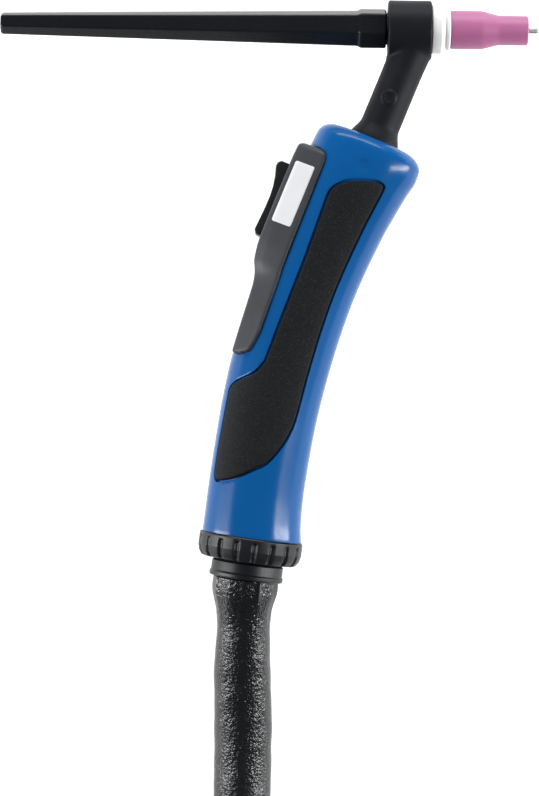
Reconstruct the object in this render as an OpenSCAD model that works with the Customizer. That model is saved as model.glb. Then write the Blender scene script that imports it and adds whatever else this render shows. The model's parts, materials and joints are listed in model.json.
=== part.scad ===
// Gas cooled TIG welding torch lying on its side, with its hose coiled below it.
// Millimetres. X runs along the electrode, Y along the bench away from the hose, Z up.
// Inside torch() the origin is the centre of the head's barrel.

/* [Head] */
// Radius of the rubber covered barrel
barrel_r = 10.5; // [10:0.1:11]
// Length of the barrel
barrel_len = 15.6; // [15:0.1:16.5]
// Radius of the neck
neck_r = 7.3; // [7:0.1:7.8]
// Lean of the neck from the barrel's square, in degrees
neck_lean = 21.7; // [20:0.1:23]

/* [Consumables] */
// Radius of the tungsten electrode
electrode_r = 1; // [0.8:0.1:1]
// Length of the tungsten electrode
electrode_len = 175; // [150:5:175]
// How far the electrode stands out of the nozzle
stick_out = 4; // [3:0.5:5]
// Length of the ceramic nozzle
nozzle_len = 28.7; // [27:0.1:30]
// Corner radius of the back cap at its cuff
cuff_r = 7.5; // [7.3:0.1:8]

/* [Handle] */
// Radius of the handle's sweep
sweep_r = 444; // [430:1:460]
// Wall of the handle shells
wall = 2.4; // [2:0.1:2.6]
// Width of the groove round a grip pad
pad_groove = 0.6; // [0.4:0.1:0.8]
// Largest angle of the rocker each way, in degrees
rock_angle = 4; // [3:0.5:4]

/* [Swivel] */
// Radius of the ring nut, which the torch lies on
nut_r = 19.15; // [19:0.05:19.5]
// Radius of the swivel ball
ball_r = 12; // [11.8:0.1:12]

/* [Hose] */
// Outer radius of the sleeved hose
hose_r = 10.65; // [10:0.05:10.65]
// Radius of the coil's outer column of turns, at the hose's middle
coil_r = 117; // [112:1:122]
// Radius of the power cable's tail
tail_r = 6.2; // [5.5:0.1:6.4]
// Radius of the control lead
control_r = 2.8; // [2.4:0.1:3]

/* [Hidden] */

$fn = 64;
clear = 0.05;

// Place of the barrel's centre on the bench
torch_at = [52, 97.1, nut_r];

// Along the barrel
barrel_back = -8;
barrel_front = barrel_back + barrel_len;
neck_cross = [3.7, 0];
core_r = 8;
tube_r = 4;
cuff_front = barrel_back - 0.9;
cuff_back = cuff_front - 9.7;
cap_end = -151.4;
insert_r = 4.9;
insert_front = -1.5;
collet_r = 2.3;
body_r = 4.3;
insulator_steps = [[9, 5.1], [7.2, 2.1]];
nozzle_back = barrel_front + insulator_steps[0][1] + insulator_steps[1][1];
nozzle_front = nozzle_back + nozzle_len;
electrode_tip = nozzle_front + stick_out;

// The handle's middle line starts at the foot of the neck
line_start = [-13, -41.8];
line_straight = 40;
ball_u = 152.5;

// Handle stations: distance along the line, left edge, right edge, half thickness
STATIONS = [[0, -17, 15.5, 13.2], [1.5, -19.2, 18.2, 15.6], [4, -20.5, 20, 17],
    [8, -20.8, 20.3, 17.6], [14, -21, 19.2, 17.8], [22, -21, 18, 17.6], [32, -21, 16.8, 17.2],
    [45, -21, 16, 16.9], [60, -21, 15.4, 16.7], [76, -21, 15.3, 16.8], [90, -21, 15.4, 17],
    [105, -20.4, 15.6, 17.2], [120, -19.5, 16.1, 17.4], [136, -18.8, 16.7, 17.7],
    [147, -18.4, 17.5, 18.1], [153.3, -18.3, 18.5, 18.4]];
FULLNESS = 2.3;

// Grip pad outline: distance along the line, offset to the right
PAD = [[24, -7.6], [20, -5], [17, 0], [15, 5.5], [14.8, 8.8], [16.5, 10], [25, 9.3], [38, 8.4],
    [62, 7.5], [90, 7.6], [106, 7.6], [114, 6.4], [122, 3], [127, -1], [132, -8.3], [134.4, -14],
    [134.2, -16.6], [128, -17.4], [108, -18.2], [103, -18.5], [100, -17.4], [95.5, -12],
    [91, -9.2], [86, -8.2], [64, -7], [48, -6.8], [32, -7.5]];
pad_sink = 1.2;
pad_proud = 0.3;

// Switch module: distance along the line, front face, half height at its edge and at its nose
SWITCH_STATIONS = [[10.5, -23.5, 15.2, 8.5], [12.5, -25, 15.9, 10], [20, -25.3, 16, 10.6],
    [48, -25.2, 15.8, 10.6], [56, -24.3, 15.7, 10.4], [61, -22.3, 15.7, 10.6],
    [66, -21.5, 15.8, 11], [78, -21.3, 15.9, 11.4], [90.5, -21.3, 15.9, 11.4]];
// Its outline on the handle's flank
SWITCH_EDGE = [[10.8, -30], [10.8, -17], [12, -14.8], [15, -13.6], [48, -13.2], [80, -13.5],
    [85, -14.7], [88, -15.6], [89.6, -18.5], [89.9, -30]];
switch_wall = 1.8;
rocker_half = 6.8;
rocker_pivot = [34, -21];
ROCKER = [[20, -24.6], [20, -28.4], [21, -29.5], [22.5, -29.7], [26, -28.6], [30, -27.8],
    [34, -27.5], [39.5, -27.6], [44, -27.9], [46.6, -28.1], [47.9, -27.2], [48.2, -24.8],
    [46.5, -22.6], [43, -22.6], [42.2, -20], [40.8, -20], [40, -22], [28, -22], [27.2, -20],
    [25.8, -20], [25, -22.6], [21.6, -22.6]];
pin_r = 1.25;

SCREWS = [[10, 13], [48, 12.2], [90, 12], [122, 12], [128, -12.5]];
screw_r = 1.5;
screw_head_r = 2.8;
boss_r = 3.4;

// The coil lies on the bench, with two columns of turns and three layers
hose_d = 2 * hose_r;
coil_at = [4, -371];
coil_in = coil_r - hose_d;
layers = 3;
coil_top = layers * hose_d;
// Angle round the coil and height of each strap; the last one also ties the tails down
STRAPS = [[15, coil_top], [75, coil_top], [225, coil_top + 2 * tail_r + 0.8]];
strap_wide = 20;
strap_thick = 1.2;
sleeve_end = 95;

// Middle line of the hose from the swivel to the coil
HOSE_ROUTE = [[-5.3, -103, 19.1], [-6, -110, 18.8], [-6.4, -121, 17.6], [-6.5, -135, 15.5],
    [-6.4, -150, 13.2], [-6, -166, 11.4], [-6, -182, 10.7], [-6.3, -198, 10.65],
    [-9, -215, 10.65], [-15, -231, 10.65], [-24, -246, 10.65], [-36, -258, 10.65],
    [-51, -268, 10.65]];
// Middle lines of the power cable and of the control lead, on top of the coil
TAIL_ROUTE = [[-48.5, -293, 54.2], [-62, -302, 55], [-75, -314, 58], [-85, -329, 63],
    [-91, -347, 68], [-95, -366, 70.4], [-94, -388, 70.4], [-87, -409, 70.4],
    [-74, -428, 70.4], [-56, -444, 70.4], [-34, -456, 70.6], [-10, -461, 71.5],
    [14, -460, 74.5], [34, -453, 77.8], [49, -444, 79.5], [58, -437, 80]];
CONTROL_ROUTE = [[-54.5, -285, 56.2], [-68, -293, 60], [-83, -306.5, 64], [-95, -324, 66.9],
    [-103, -343, 67.2], [-107.5, -363, 67.2], [-108, -386, 67.2], [-102, -411, 67.2], [-90,
    -433, 67.2], [-73, -451, 67.2], [-52, -464, 67.8], [-34, -472, 70], [-18, -476, 72],
    [-6, -477, 72]];
plug_at = TAIL_ROUTE[len(TAIL_ROUTE) - 1];
plug_turn = 38;
plug_grip_r = 15.5;
plug_pin_r = 6.5;
control_plug_at = CONTROL_ROUTE[len(CONTROL_ROUTE) - 1];
control_plug_r = 8;

BLACK = [0.07, 0.07, 0.08];
GREY = [0.19, 0.19, 0.2];
BLUE = [0.03, 0.27, 0.6];
BRASS = [0.76, 0.6, 0.28];
STEEL = [0.62, 0.63, 0.65];

// ---- the handle's middle line

function heading(u) =
    u <= line_straight ? neck_lean : neck_lean - (u - line_straight) / sweep_r * 180 / PI;
function ahead(h) = [-sin(h), -cos(h)];
function aside(h) = [cos(h), -sin(h)];
function line_point(u) =
    u <= line_straight
        ? line_start + u * ahead(neck_lean)
        : line_start + line_straight * ahead(neck_lean) + sweep_r * aside(neck_lean)
            - sweep_r * aside(heading(u));
function place(un) = line_point(un[0]) + un[1] * aside(heading(un[0]));
function outline(points) = [for (p = points) place(p)];

// Rounded oval with flattened sides
function oval(middle, half_w, half_t, corners) = [for (i = [0:corners - 1])
    let (a = 360 * i / corners, c = cos(a), s = sin(a))
    [middle + half_w * sign(c) * pow(abs(c), 2 / FULLNESS),
        half_t * sign(s) * pow(abs(s), 2 / FULLNESS)]];

module torch() {
    translate(torch_at) children();
}

// X becomes the offset to the right, and Z the direction towards the hose
module at_line(u) {
    p = line_point(u);
    translate([p.x, p.y, 0]) rotate([0, 0, -heading(u)]) rotate([90, 0, 0]) children();
}

module along_barrel(x) {
    translate([x, 0, 0]) rotate([0, 90, 0]) children();
}

module along_neck(s) {
    translate([neck_cross.x, neck_cross.y, 0]) rotate([0, 0, -neck_lean])
        translate([0, -s, 0]) rotate([90, 0, 0]) children();
}

// ---- a swept tube: one ring of corners at every point of the route

function unit(v) = v / norm(v);
function route_dir(route, i) =
    unit(route[min(i + 1, len(route) - 1)] - route[max(i - 1, 0)]);
function ring(route, i, r, sides) =
    let (d = route_dir(route, i), side = unit(cross(d, [0, 0, 1])), up = cross(side, d))
    [for (k = [0:sides - 1]) route[i] + r * (cos(360 * k / sides) * side
        + sin(360 * k / sides) * up)];

module swept(route, r, sides) {
    last = len(route) - 1;
    corners = [for (i = [0:last]) each ring(route, i, r, sides)];
    walls = [for (i = [0:last - 1]) for (k = [0:sides - 1])
        let (a = i * sides + k, b = i * sides + (k + 1) % sides)
        each [[a, a + sides, b + sides], [a, b + sides, b]]];
    caps = [[for (k = [0:sides - 1]) k], [for (k = [sides - 1:-1:0]) last * sides + k]];
    polyhedron(points = corners, faces = concat(walls, caps), convexity = 6);
}

// ---- head

module head_cover() {
    color(GREY) torch() difference() {
        union() {
            along_barrel(barrel_back) cylinder(r = barrel_r, h = barrel_len);
            difference() {
                union() {
                    along_neck(0) cylinder(r = neck_r, h = 48);
                    along_neck(0) cylinder(r1 = neck_r + 1.8, r2 = neck_r, h = 19);
                }
                translate([barrel_front, -9.8, -20]) cube([20, 30, 40]);
                translate([barrel_back - 20, -9.8, -20]) cube([20, 30, 40]);
            }
            along_neck(39.6) cylinder(r1 = neck_r, r2 = 9.6, h = 4.6);
            along_neck(44.2) cylinder(r = 9.6, h = 6.4);
            along_neck(48.4) cylinder(r = 11.5, h = 2.6);
            along_neck(28.5) translate([-1, 0, 0]) rotate([-90, 0, 0]) cylinder(r = 2.7, h = 7.6);
        }
        along_barrel(barrel_back - 1) cylinder(r = core_r, h = barrel_len + 2);
        along_neck(0) cylinder(r = tube_r, h = 60);
    }
}

module head_core() {
    color(BRASS) torch() difference() {
        along_barrel(barrel_back) cylinder(r = core_r, h = barrel_len);
        along_barrel(barrel_back - 1) cylinder(r = insert_r + clear, h = 8);
        along_barrel(barrel_back - 1) cylinder(r = body_r, h = barrel_len + 2);
        along_neck(7.5) cylinder(r = tube_r, h = 10);
    }
}

module neck_tube() {
    color(BRASS) torch() along_neck(7.5) difference() {
        cylinder(r = tube_r, h = 60);
        translate([0, 0, -1]) cylinder(r = 2.8, h = 62);
    }
}

module collet_body() {
    color(BRASS) torch() difference() {
        union() {
            along_barrel(-0.9) cylinder(r = body_r, h = 9.4);
            along_barrel(8.5) cylinder(r = 4.4, h = 17.5);
        }
        along_barrel(-2) cylinder(r = collet_r + clear, h = 25);
        along_barrel(20) cylinder(r = electrode_r + 0.3, h = 8);
        for (a = [0, 90]) rotate([a, 0, 0])
            translate([18.5, 0, -6]) cylinder(r = 0.7, h = 12, $fn = 24);
    }
}

module collet() {
    color(BRASS) torch() difference() {
        along_barrel(insert_front + 0.1) cylinder(r = collet_r, h = 23.8);
        along_barrel(-3) cylinder(r = electrode_r + clear, h = 30);
        for (a = [0, 90]) rotate([a, 0, 0]) translate([11, -0.15, -4]) cube([13, 0.3, 8]);
    }
}

module heat_insulator() {
    big = insulator_steps[0];
    small = insulator_steps[1];
    color([0.93, 0.93, 0.92]) torch() difference() {
        union() {
            along_barrel(barrel_front) cylinder(r = big[0], h = big[1] - 1.2);
            along_barrel(barrel_front + big[1] - 1.2)
                cylinder(r1 = big[0], r2 = big[0] - 0.8, h = 1.2);
            along_barrel(barrel_front + big[1]) cylinder(r = small[0], h = small[1]);
        }
        along_barrel(barrel_front - 1) cylinder(r = 4.5, h = 12);
    }
}

module ceramic_nozzle() {
    mouth_r = 5.45;
    back_r = 7.1;
    shoulder = nozzle_back + 13.2;
    color([0.78, 0.5, 0.58]) torch() difference() {
        union() {
            along_barrel(nozzle_back) cylinder(r = back_r, h = shoulder - nozzle_back);
            along_barrel(shoulder) cylinder(r1 = back_r, r2 = mouth_r, h = 4);
            along_barrel(shoulder + 4) cylinder(r = mouth_r, h = nozzle_front - shoulder - 4);
        }
        along_barrel(nozzle_back - 1) cylinder(r = 4.6, h = 13.2);
        along_barrel(nozzle_back) cylinder(r = 3.95, h = nozzle_len + 2);
    }
}

module tungsten_electrode() {
    color(STEEL) torch() union() {
        along_barrel(electrode_tip - electrode_len) cylinder(r = electrode_r, h = electrode_len - 3);
        along_barrel(electrode_tip - 3) cylinder(r1 = electrode_r, r2 = 0.25, h = 3);
    }
}

module back_cap() {
    color(BLACK) torch() difference() {
        rotate([20.8, 0, 0]) {
            translate([cuff_front, 0, 0]) rotate([0, -90, 0])
                cylinder(r = cuff_r, h = cuff_front - cuff_back, $fn = 6);
            translate([cuff_back, 0, 0]) rotate([0, -90, 0])
                cylinder(r1 = 6.8, r2 = 4.2, h = cuff_back - cap_end, $fn = 6);
        }
        translate([cuff_front + 1, 0, 0]) rotate([0, -90, 0]) cylinder(r = 4.2, h = 7.1);
        translate([cuff_front, 0, 0]) rotate([0, -90, 0]) cylinder(r = 2, h = 137);
    }
}

module back_cap_insert() {
    color(BRASS) torch() difference() {
        union() {
            along_barrel(cuff_front - 6.1) cylinder(r = 4.2, h = 6.2);
            along_barrel(cuff_front) cylinder(r = insert_r, h = insert_front - cuff_front);
        }
        along_barrel(cuff_front - 8) cylinder(r = 2.2, h = 20);
    }
}

module back_cap_o_ring() {
    color(GREY) torch() along_barrel((cuff_front + barrel_back) / 2)
        rotate_extrude() translate([5.5, 0]) circle(r = 0.42, $fn = 32);
}

// ---- handle

function handle_ring(s, inset, corners) =
    [for (p = oval((s[1] + s[2]) / 2, (s[2] - s[1]) / 2 - inset, s[3] - inset, corners))
        concat(place([s[0], p.x]), p.y)];

// The solid between two rings of corners
module link(ring_a, ring_b) {
    n = len(ring_a);
    hull() polyhedron(points = concat(ring_a, ring_b),
        faces = [[for (k = [0:n - 1]) k], [for (k = [0:n - 1]) n + k]]);
}

module handle_form(inset, first, last, corners = 30) {
    for (i = [first:last - 1])
        link(handle_ring(STATIONS[i], inset, corners), handle_ring(STATIONS[i + 1], inset, corners));
}

module upright(points, grow = 0) {
    translate([0, 0, -40]) linear_extrude(80) offset(delta = grow) polygon(outline(points));
}

// A whole handle, both halves; each shell keeps one half of it
module handle_body() {
    end = len(STATIONS) - 1;
    difference() {
        union() {
            difference() {
                handle_form(0, 0, end);
                handle_form(wall, 2, end - 2);
            }
            intersection() {
                handle_form(1, 0, end);
                for (s = SCREWS) translate(concat(place(s), -20)) cylinder(r = boss_r, h = 40, $fn = 24);
            }
            at_line(ball_u) cylinder(r = 17.7, h = 4.2, $fn = 96);
        }
        difference() {
            upright(PAD, pad_groove);
            handle_form(pad_sink + 0.1, 3, end - 1);
        }
        upright(SWITCH_EDGE, 0.15);
        along_neck(40) cylinder(r = 9.8, h = 14);
        at_line(139) cylinder(r = 12.2, h = 20);
        at_line(ball_u) translate([0, 0, -8.3]) cylinder(r = 15.8, h = 20, $fn = 96);
        at_line(134) cylinder(r = 8, h = 8);
        for (s = SCREWS) translate(concat(place(s), -20)) cylinder(r = screw_r + 0.1, h = 30, $fn = 24);
        for (s = SCREWS) translate(concat(place(s), -30)) cylinder(r = screw_head_r + 0.2, h = 22, $fn = 24);
    }
}

module shell_upper() {
    color(BLUE) torch() difference() {
        handle_body();
        translate([-200, -300, -100]) cube([400, 400, 100]);
    }
}

module shell_lower() {
    color(BLUE) torch() difference() {
        handle_body();
        translate([-200, -300, 0]) cube([400, 400, 100]);
    }
}

module grip_pad() {
    end = len(STATIONS) - 1;
    difference() {
        intersection() {
            handle_form(-pad_proud, 3, end - 1, 24);
            upright(PAD);
            translate([-200, -300, 1]) cube([400, 400, 100]);
        }
        handle_form(pad_sink, 3, end - 1, 24);
    }
}

module grip_pad_upper() {
    color(BLACK) torch() grip_pad();
}

module grip_pad_lower() {
    color(BLACK) torch() mirror([0, 0, 1]) grip_pad();
}

module shell_screws() {
    color(STEEL) torch() for (s = SCREWS) translate(concat(place(s), -7.9)) {
        difference() {
            translate([0, 0, -2.4]) cylinder(r = screw_head_r, h = 2.4);
            translate([0, 0, -3]) cylinder(r = 1.4, h = 2, $fn = 6);
        }
        cylinder(r = screw_r, h = 16);
    }
}

// ---- switch module

function switch_ring(s, inset) =
    let (front = s[1] + inset, edge = s[2] - inset, nose = s[3] - inset,
        half = [[-6, edge], [-14, edge], [front + 3, nose + 1.8], [front + 1, nose + 0.6],
            [front + 0.2, nose - 0.4], [front, nose - 1.6]],
        last = len(half) - 1,
        whole = concat(half, [for (i = [last:-1:0]) [half[i].x, -half[i].y]]))
    [for (p = whole) concat(place([s[0], p.x]), p.y)];

module switch_form(inset, first, last) {
    for (i = [first:last - 1])
        link(switch_ring(SWITCH_STATIONS[i], inset), switch_ring(SWITCH_STATIONS[i + 1], inset));
}

module between(u1, u2, n1, n2, z1, z2) {
    translate([0, 0, z1]) linear_extrude(z2 - z1)
        polygon(outline([[u1, n1], [u2, n1], [u2, n2], [u1, n2]]));
}

module switch_housing() {
    end = len(SWITCH_STATIONS) - 1;
    web = rocker_half + 0.35;
    color(GREY) torch() difference() {
        union() {
            intersection() {
                difference() {
                    switch_form(0, 0, end);
                    switch_form(switch_wall, 1, end - 1);
                }
                upright(SWITCH_EDGE);
            }
            for (side = [-1, 1]) between(16, 52, -24, -13.6,
                side > 0 ? web : -web - 1.8, side > 0 ? web + 1.8 : -web);
        }
        between(19.3, 49, -32, -18, -web, web);
        translate(concat(place(rocker_pivot), -20)) cylinder(r = pin_r + clear, h = 40, $fn = 48);
    }
}

module rocker_button() {
    color(BLACK) torch() difference() {
        union() {
            translate([0, 0, -rocker_half]) linear_extrude(2 * rocker_half) polygon(outline(ROCKER));
            translate(concat(place(rocker_pivot), -rocker_half)) cylinder(r = 2.4, h = 2 * rocker_half);
        }
        translate(concat(place(rocker_pivot), -20)) cylinder(r = pin_r + clear, h = 40);
    }
}

module rocker_pin() {
    color(STEEL) torch() translate(concat(place(rocker_pivot), -8.9)) cylinder(r = pin_r, h = 17.8);
}

module rocker_springs() {
    color(STEEL) torch() for (u = [29.5, 38.5])
        translate(concat(place([u, -21.9]), 0)) rotate([0, 0, -heading(u)]) rotate([0, 90, 0])
            difference() {
                cylinder(r = 1.5, h = 6.4);
                translate([0, 0, -1]) cylinder(r = 1, h = 9);
            }
}

module switch_board() {
    color([0.1, 0.35, 0.18]) torch() between(19, 49, -15.4, -13.9, -7, 7);
}

module micro_switches() {
    color(BLACK) torch() for (u = [25.5, 42.5]) between(u - 2.2, u + 2.2, -18.9, -15.42, -3, 3);
}

// Plain pale plates, one on each flank of the switch module
module blank_labels() {
    color([0.85, 0.86, 0.87]) torch() for (side = [0, 1]) mirror([0, 0, side])
        translate(concat(place([30, -19.8]), 14.35)) rotate([0, 0, -neck_lean]) rotate([0, -18, 0])
            linear_extrude(0.5) polygon([[-4, -11.8], [4, -11.8], [4, 11.8], [-4, 11.8]]);
}

// ---- inside the handle

module cable_coupling() {
    color(BRASS) torch() difference() {
        along_neck(55) cylinder(r = 6, h = 26);
        along_neck(54) cylinder(r = tube_r, h = 13.5);
        along_neck(75) cylinder(r = 4.5, h = 10);
    }
}

module handle_cable() {
    route = [for (u = [30.2, 40, 55, 70, 85, 100, 115, 130, 138]) concat(line_point(u), 0)];
    color(BLACK) torch() swept(route, 4.4, 10);
}

// ---- swivel

function arc(r, from, to, steps) =
    [for (i = [0:steps]) let (a = from + (to - from) * i / steps) [r * sin(a), r * cos(a)]];

module swivel_liner() {
    color([0.8, 0.8, 0.78]) torch() at_line(ball_u) rotate_extrude()
        polygon(concat(arc(ball_r + 0.2, 56, 118, 12), arc(ball_r + 1.2, 118, 56, 12)));
}

module swivel_race() {
    color(GREY) torch() at_line(ball_u) rotate_extrude()
        polygon(concat(arc(ball_r + 1.5, 62, 125, 14),
            [[15.7, ball_r * cos(125) - 0.9], [15.7, 4.2], [14.3, 4.2], [14.3, 6.3]]));
}

module ring_nut() {
    profile = concat([[17.9, 1], [nut_r - 0.7, 1], [nut_r, 1.9], [nut_r, 5.6], [nut_r - 0.5, 7.9],
        [nut_r - 1.5, 9.5], [nut_r - 2.3, 9.9]],
        [for (h = [9.9, 9.2, 8.5, 7.8, 7.1, 6.4]) [sqrt(18.5 * 18.5 - h * h), h]],
        [[14.5, 6.4], [14.5, 4.4], [17.9, 4.4]]);
    color(BLACK) torch() at_line(ball_u) difference() {
        rotate_extrude($fn = 96) polygon(profile);
        for (k = [0:17]) rotate(k * 20 + 10) translate([nut_r + 0.25, 0, 2.6])
            cylinder(r = 0.75, h = 10, $fn = 16);
    }
}

module swivel_ball() {
    profile = concat([[6.5, -9], [sqrt(ball_r * ball_r - 81), -9]],
        arc(ball_r, 138, 40, 20),
        [[7.6, 10.4], [12.6, 10.4], [13.2, 11], [13.2, 14.8], [13.65, 15.2], [13.65, 16.2],
            [13.2, 16.6], [12.2, 16.6], [12.2, 12.6], [6.5, 12.6]]);
    color(BLACK) torch() at_line(ball_u) rotate_extrude() polygon(profile);
}

module hose_clamp() {
    color(STEEL) torch() at_line(ball_u) difference() {
        translate([0, 0, 12.7]) cylinder(r = 12.1, h = 2.2);
        translate([0, 0, 12]) cylinder(r = 11, h = 5);
    }
}

// ---- hose, coil and the pieces on their end

module hose_lead() {
    color(BLACK) swept(HOSE_ROUTE, hose_r, 12);
}

module hose_coil() {
    rounded = [for (c = [[coil_in, hose_r, 180], [coil_r, hose_r, 270],
            [coil_r, coil_top - hose_r, 0], [coil_in, coil_top - hose_r, 90]])
        for (i = [0:6]) let (a = c[2] + 15 * i) [c[0] + hose_r * cos(a), c[1] + hose_r * sin(a)]];
    color(BLACK) translate(concat(coil_at, 0)) difference() {
        rotate_extrude($fn = 96) polygon(rounded);
        rotate(sleeve_end) translate([0, 0, 2 * hose_d + 0.2]) rotate_extrude(angle = 85, $fn = 96)
            translate([coil_in - 15, 0]) square([15 + hose_r, hose_d]);
    }
}

module coil_straps() {
    wide = coil_r - coil_in + 2 * hose_r;
    color(GREY) for (s = STRAPS)
        translate(concat(coil_at, 0)) rotate([90, 0, s[0]])
            translate([(coil_r + coil_in - wide) / 2, 0, -strap_wide / 2]) linear_extrude(strap_wide)
                difference() {
                    translate([-strap_thick, 0])
                        square([wide + 2 * strap_thick, s[1] + strap_thick]);
                    translate([0, strap_thick]) square([wide, s[1] - strap_thick]);
                }
}

module splitter_boot() {
    color(BLACK) translate(concat(coil_at, 2 * hose_d + 11.6)) rotate(sleeve_end)
        translate([coil_in, 0, 0]) rotate([-90, 0, 14]) {
            cylinder(r = 11.3, h = 22);
            translate([0, 0, 22]) cylinder(r1 = 11.3, r2 = 9.4, h = 26);
        }
}

module power_tail() {
    color(BLACK) swept(TAIL_ROUTE, tail_r, 10);
}

module at_plug() {
    translate(plug_at) rotate([0, 90, plug_turn]) children();
}

module power_plug_grip() {
    color(BLACK) at_plug() difference() {
        union() {
            translate([0, 0, -22]) cylinder(r1 = 8, r2 = 9.5, h = 22);
            cylinder(r1 = 9.5, r2 = plug_grip_r, h = 10);
            translate([0, 0, 10]) cylinder(r = plug_grip_r, h = 40);
        }
        translate([0, 0, -23]) cylinder(r = tail_r + 0.1, h = 23.2);
        translate([0, 0, 36]) cylinder(r = 12, h = 20);
        translate([0, 0, -1]) cylinder(r = 6, h = 40);
    }
}

module power_plug_pin() {
    color(BRASS) at_plug() difference() {
        union() {
            translate([0, 0, 0.5]) cylinder(r = 6, h = 35.5);
            translate([0, 0, 36]) cylinder(r = plug_pin_r + 0.2, h = 5);
            translate([plug_pin_r - 1, -1.6, 36.5]) cube([2.6, 3.2, 4.5]);
            translate([0, 0, 40]) cylinder(r = plug_pin_r - 0.3, h = 2);
            translate([0, 0, 41.5]) cylinder(r = plug_pin_r, h = 24.5);
        }
        translate([0, 0, 30]) cylinder(r = 2, h = 40);
    }
}

module control_tail() {
    color(BLACK) swept(CONTROL_ROUTE, control_r, 8);
}

module at_control_plug() {
    translate(control_plug_at) rotate([0, 90, 4]) children();
}

module control_plug_body() {
    color(BLACK) at_control_plug() difference() {
        union() {
            cylinder(r1 = 4, r2 = control_plug_r, h = 10);
            translate([0, 0, 10]) cylinder(r = control_plug_r, h = 24);
        }
        translate([0, 0, -1]) cylinder(r = control_r, h = 3);
        translate([0, 0, 24]) cylinder(r = control_plug_r - 1.4, h = 11);
    }
}

module control_plug_pins() {
    color(BRASS) at_control_plug() for (k = [0:4]) rotate(k * 72)
        translate([3.6, 0, 20]) cylinder(r = 0.8, h = 13, $fn = 24);
}

head_cover();
head_core();
neck_tube();
collet_body();
collet();
heat_insulator();
ceramic_nozzle();
tungsten_electrode();
back_cap();
back_cap_insert();
back_cap_o_ring();
shell_upper();
shell_lower();
grip_pad_upper();
grip_pad_lower();
shell_screws();
switch_housing();
rocker_button();
rocker_pin();
rocker_springs();
micro_switches();
switch_board();
blank_labels();
cable_coupling();
handle_cable();
swivel_liner();
swivel_race();
ring_nut();
swivel_ball();
hose_clamp();
hose_lead();
hose_coil();
coil_straps();
splitter_boot();
power_tail();
power_plug_grip();
power_plug_pin();
control_tail();
control_plug_body();
control_plug_pins();
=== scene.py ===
"""Looks of a gas cooled TIG torch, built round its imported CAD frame.

Lengths named _mm and all torch() coordinates are millimetres in the torch's own axes: X along the
electrode, Y away from the hose, Z up, with the origin at the middle of the head's barrel.
"""

import json
import math

import bmesh
import bpy
import numpy as np
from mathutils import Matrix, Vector, geometry, kdtree

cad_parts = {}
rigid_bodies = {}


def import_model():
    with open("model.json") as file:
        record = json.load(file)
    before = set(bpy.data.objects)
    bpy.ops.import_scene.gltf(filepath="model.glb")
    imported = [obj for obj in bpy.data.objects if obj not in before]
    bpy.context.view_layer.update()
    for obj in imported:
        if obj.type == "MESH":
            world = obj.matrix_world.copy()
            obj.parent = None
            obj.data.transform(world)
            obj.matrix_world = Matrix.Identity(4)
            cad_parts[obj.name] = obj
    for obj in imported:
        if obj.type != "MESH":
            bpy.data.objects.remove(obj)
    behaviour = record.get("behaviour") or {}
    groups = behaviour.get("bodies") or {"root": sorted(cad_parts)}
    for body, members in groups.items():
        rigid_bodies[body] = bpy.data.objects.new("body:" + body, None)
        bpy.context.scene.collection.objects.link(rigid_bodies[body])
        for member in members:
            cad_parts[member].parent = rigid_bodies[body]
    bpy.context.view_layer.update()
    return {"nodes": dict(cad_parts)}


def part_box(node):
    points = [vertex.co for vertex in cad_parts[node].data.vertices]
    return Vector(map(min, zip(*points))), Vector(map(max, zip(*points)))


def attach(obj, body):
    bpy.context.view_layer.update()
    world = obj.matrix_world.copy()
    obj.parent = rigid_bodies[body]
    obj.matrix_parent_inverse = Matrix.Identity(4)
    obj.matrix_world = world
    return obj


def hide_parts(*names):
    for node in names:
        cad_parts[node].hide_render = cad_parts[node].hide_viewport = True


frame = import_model()

MM = 0.001
core_low, core_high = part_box("head_core")
CORE_R = 8 * MM
BARREL_AT = Vector((core_low.x + CORE_R, (core_low.y + core_high.y) / 2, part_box("ring_nut")[1].z / 2))
BARREL_AT.y = core_high.y - CORE_R


def torch(x, y, z=0.0):
    """A torch coordinate in millimetres as a point of the row frame in metres."""
    return (BARREL_AT.x + x * MM, BARREL_AT.y + y * MM, BARREL_AT.z + z * MM)


# ---- shader maths


class Value:
    """One socket of a material's tree, on which Python's operators add Math nodes."""

    def __init__(self, shade, socket):
        self.shade = shade
        self.socket = socket

    def math(self, operation, *others):
        """A Math node on this value and the others."""
        inputs = {i: v for i, v in enumerate((self, *others))}
        return self.shade.add("ShaderNodeMath", {"operation": operation}, inputs)

    def __add__(self, other):
        return self.math("ADD", other)

    def __radd__(self, other):
        return self.math("ADD", other)

    def __sub__(self, other):
        return self.math("SUBTRACT", other)

    def __rsub__(self, other):
        return self.shade.add("ShaderNodeMath", {"operation": "SUBTRACT"}, {0: other, 1: self})

    def __mul__(self, other):
        return self.math("MULTIPLY", other)

    def __rmul__(self, other):
        return self.math("MULTIPLY", other)


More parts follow.
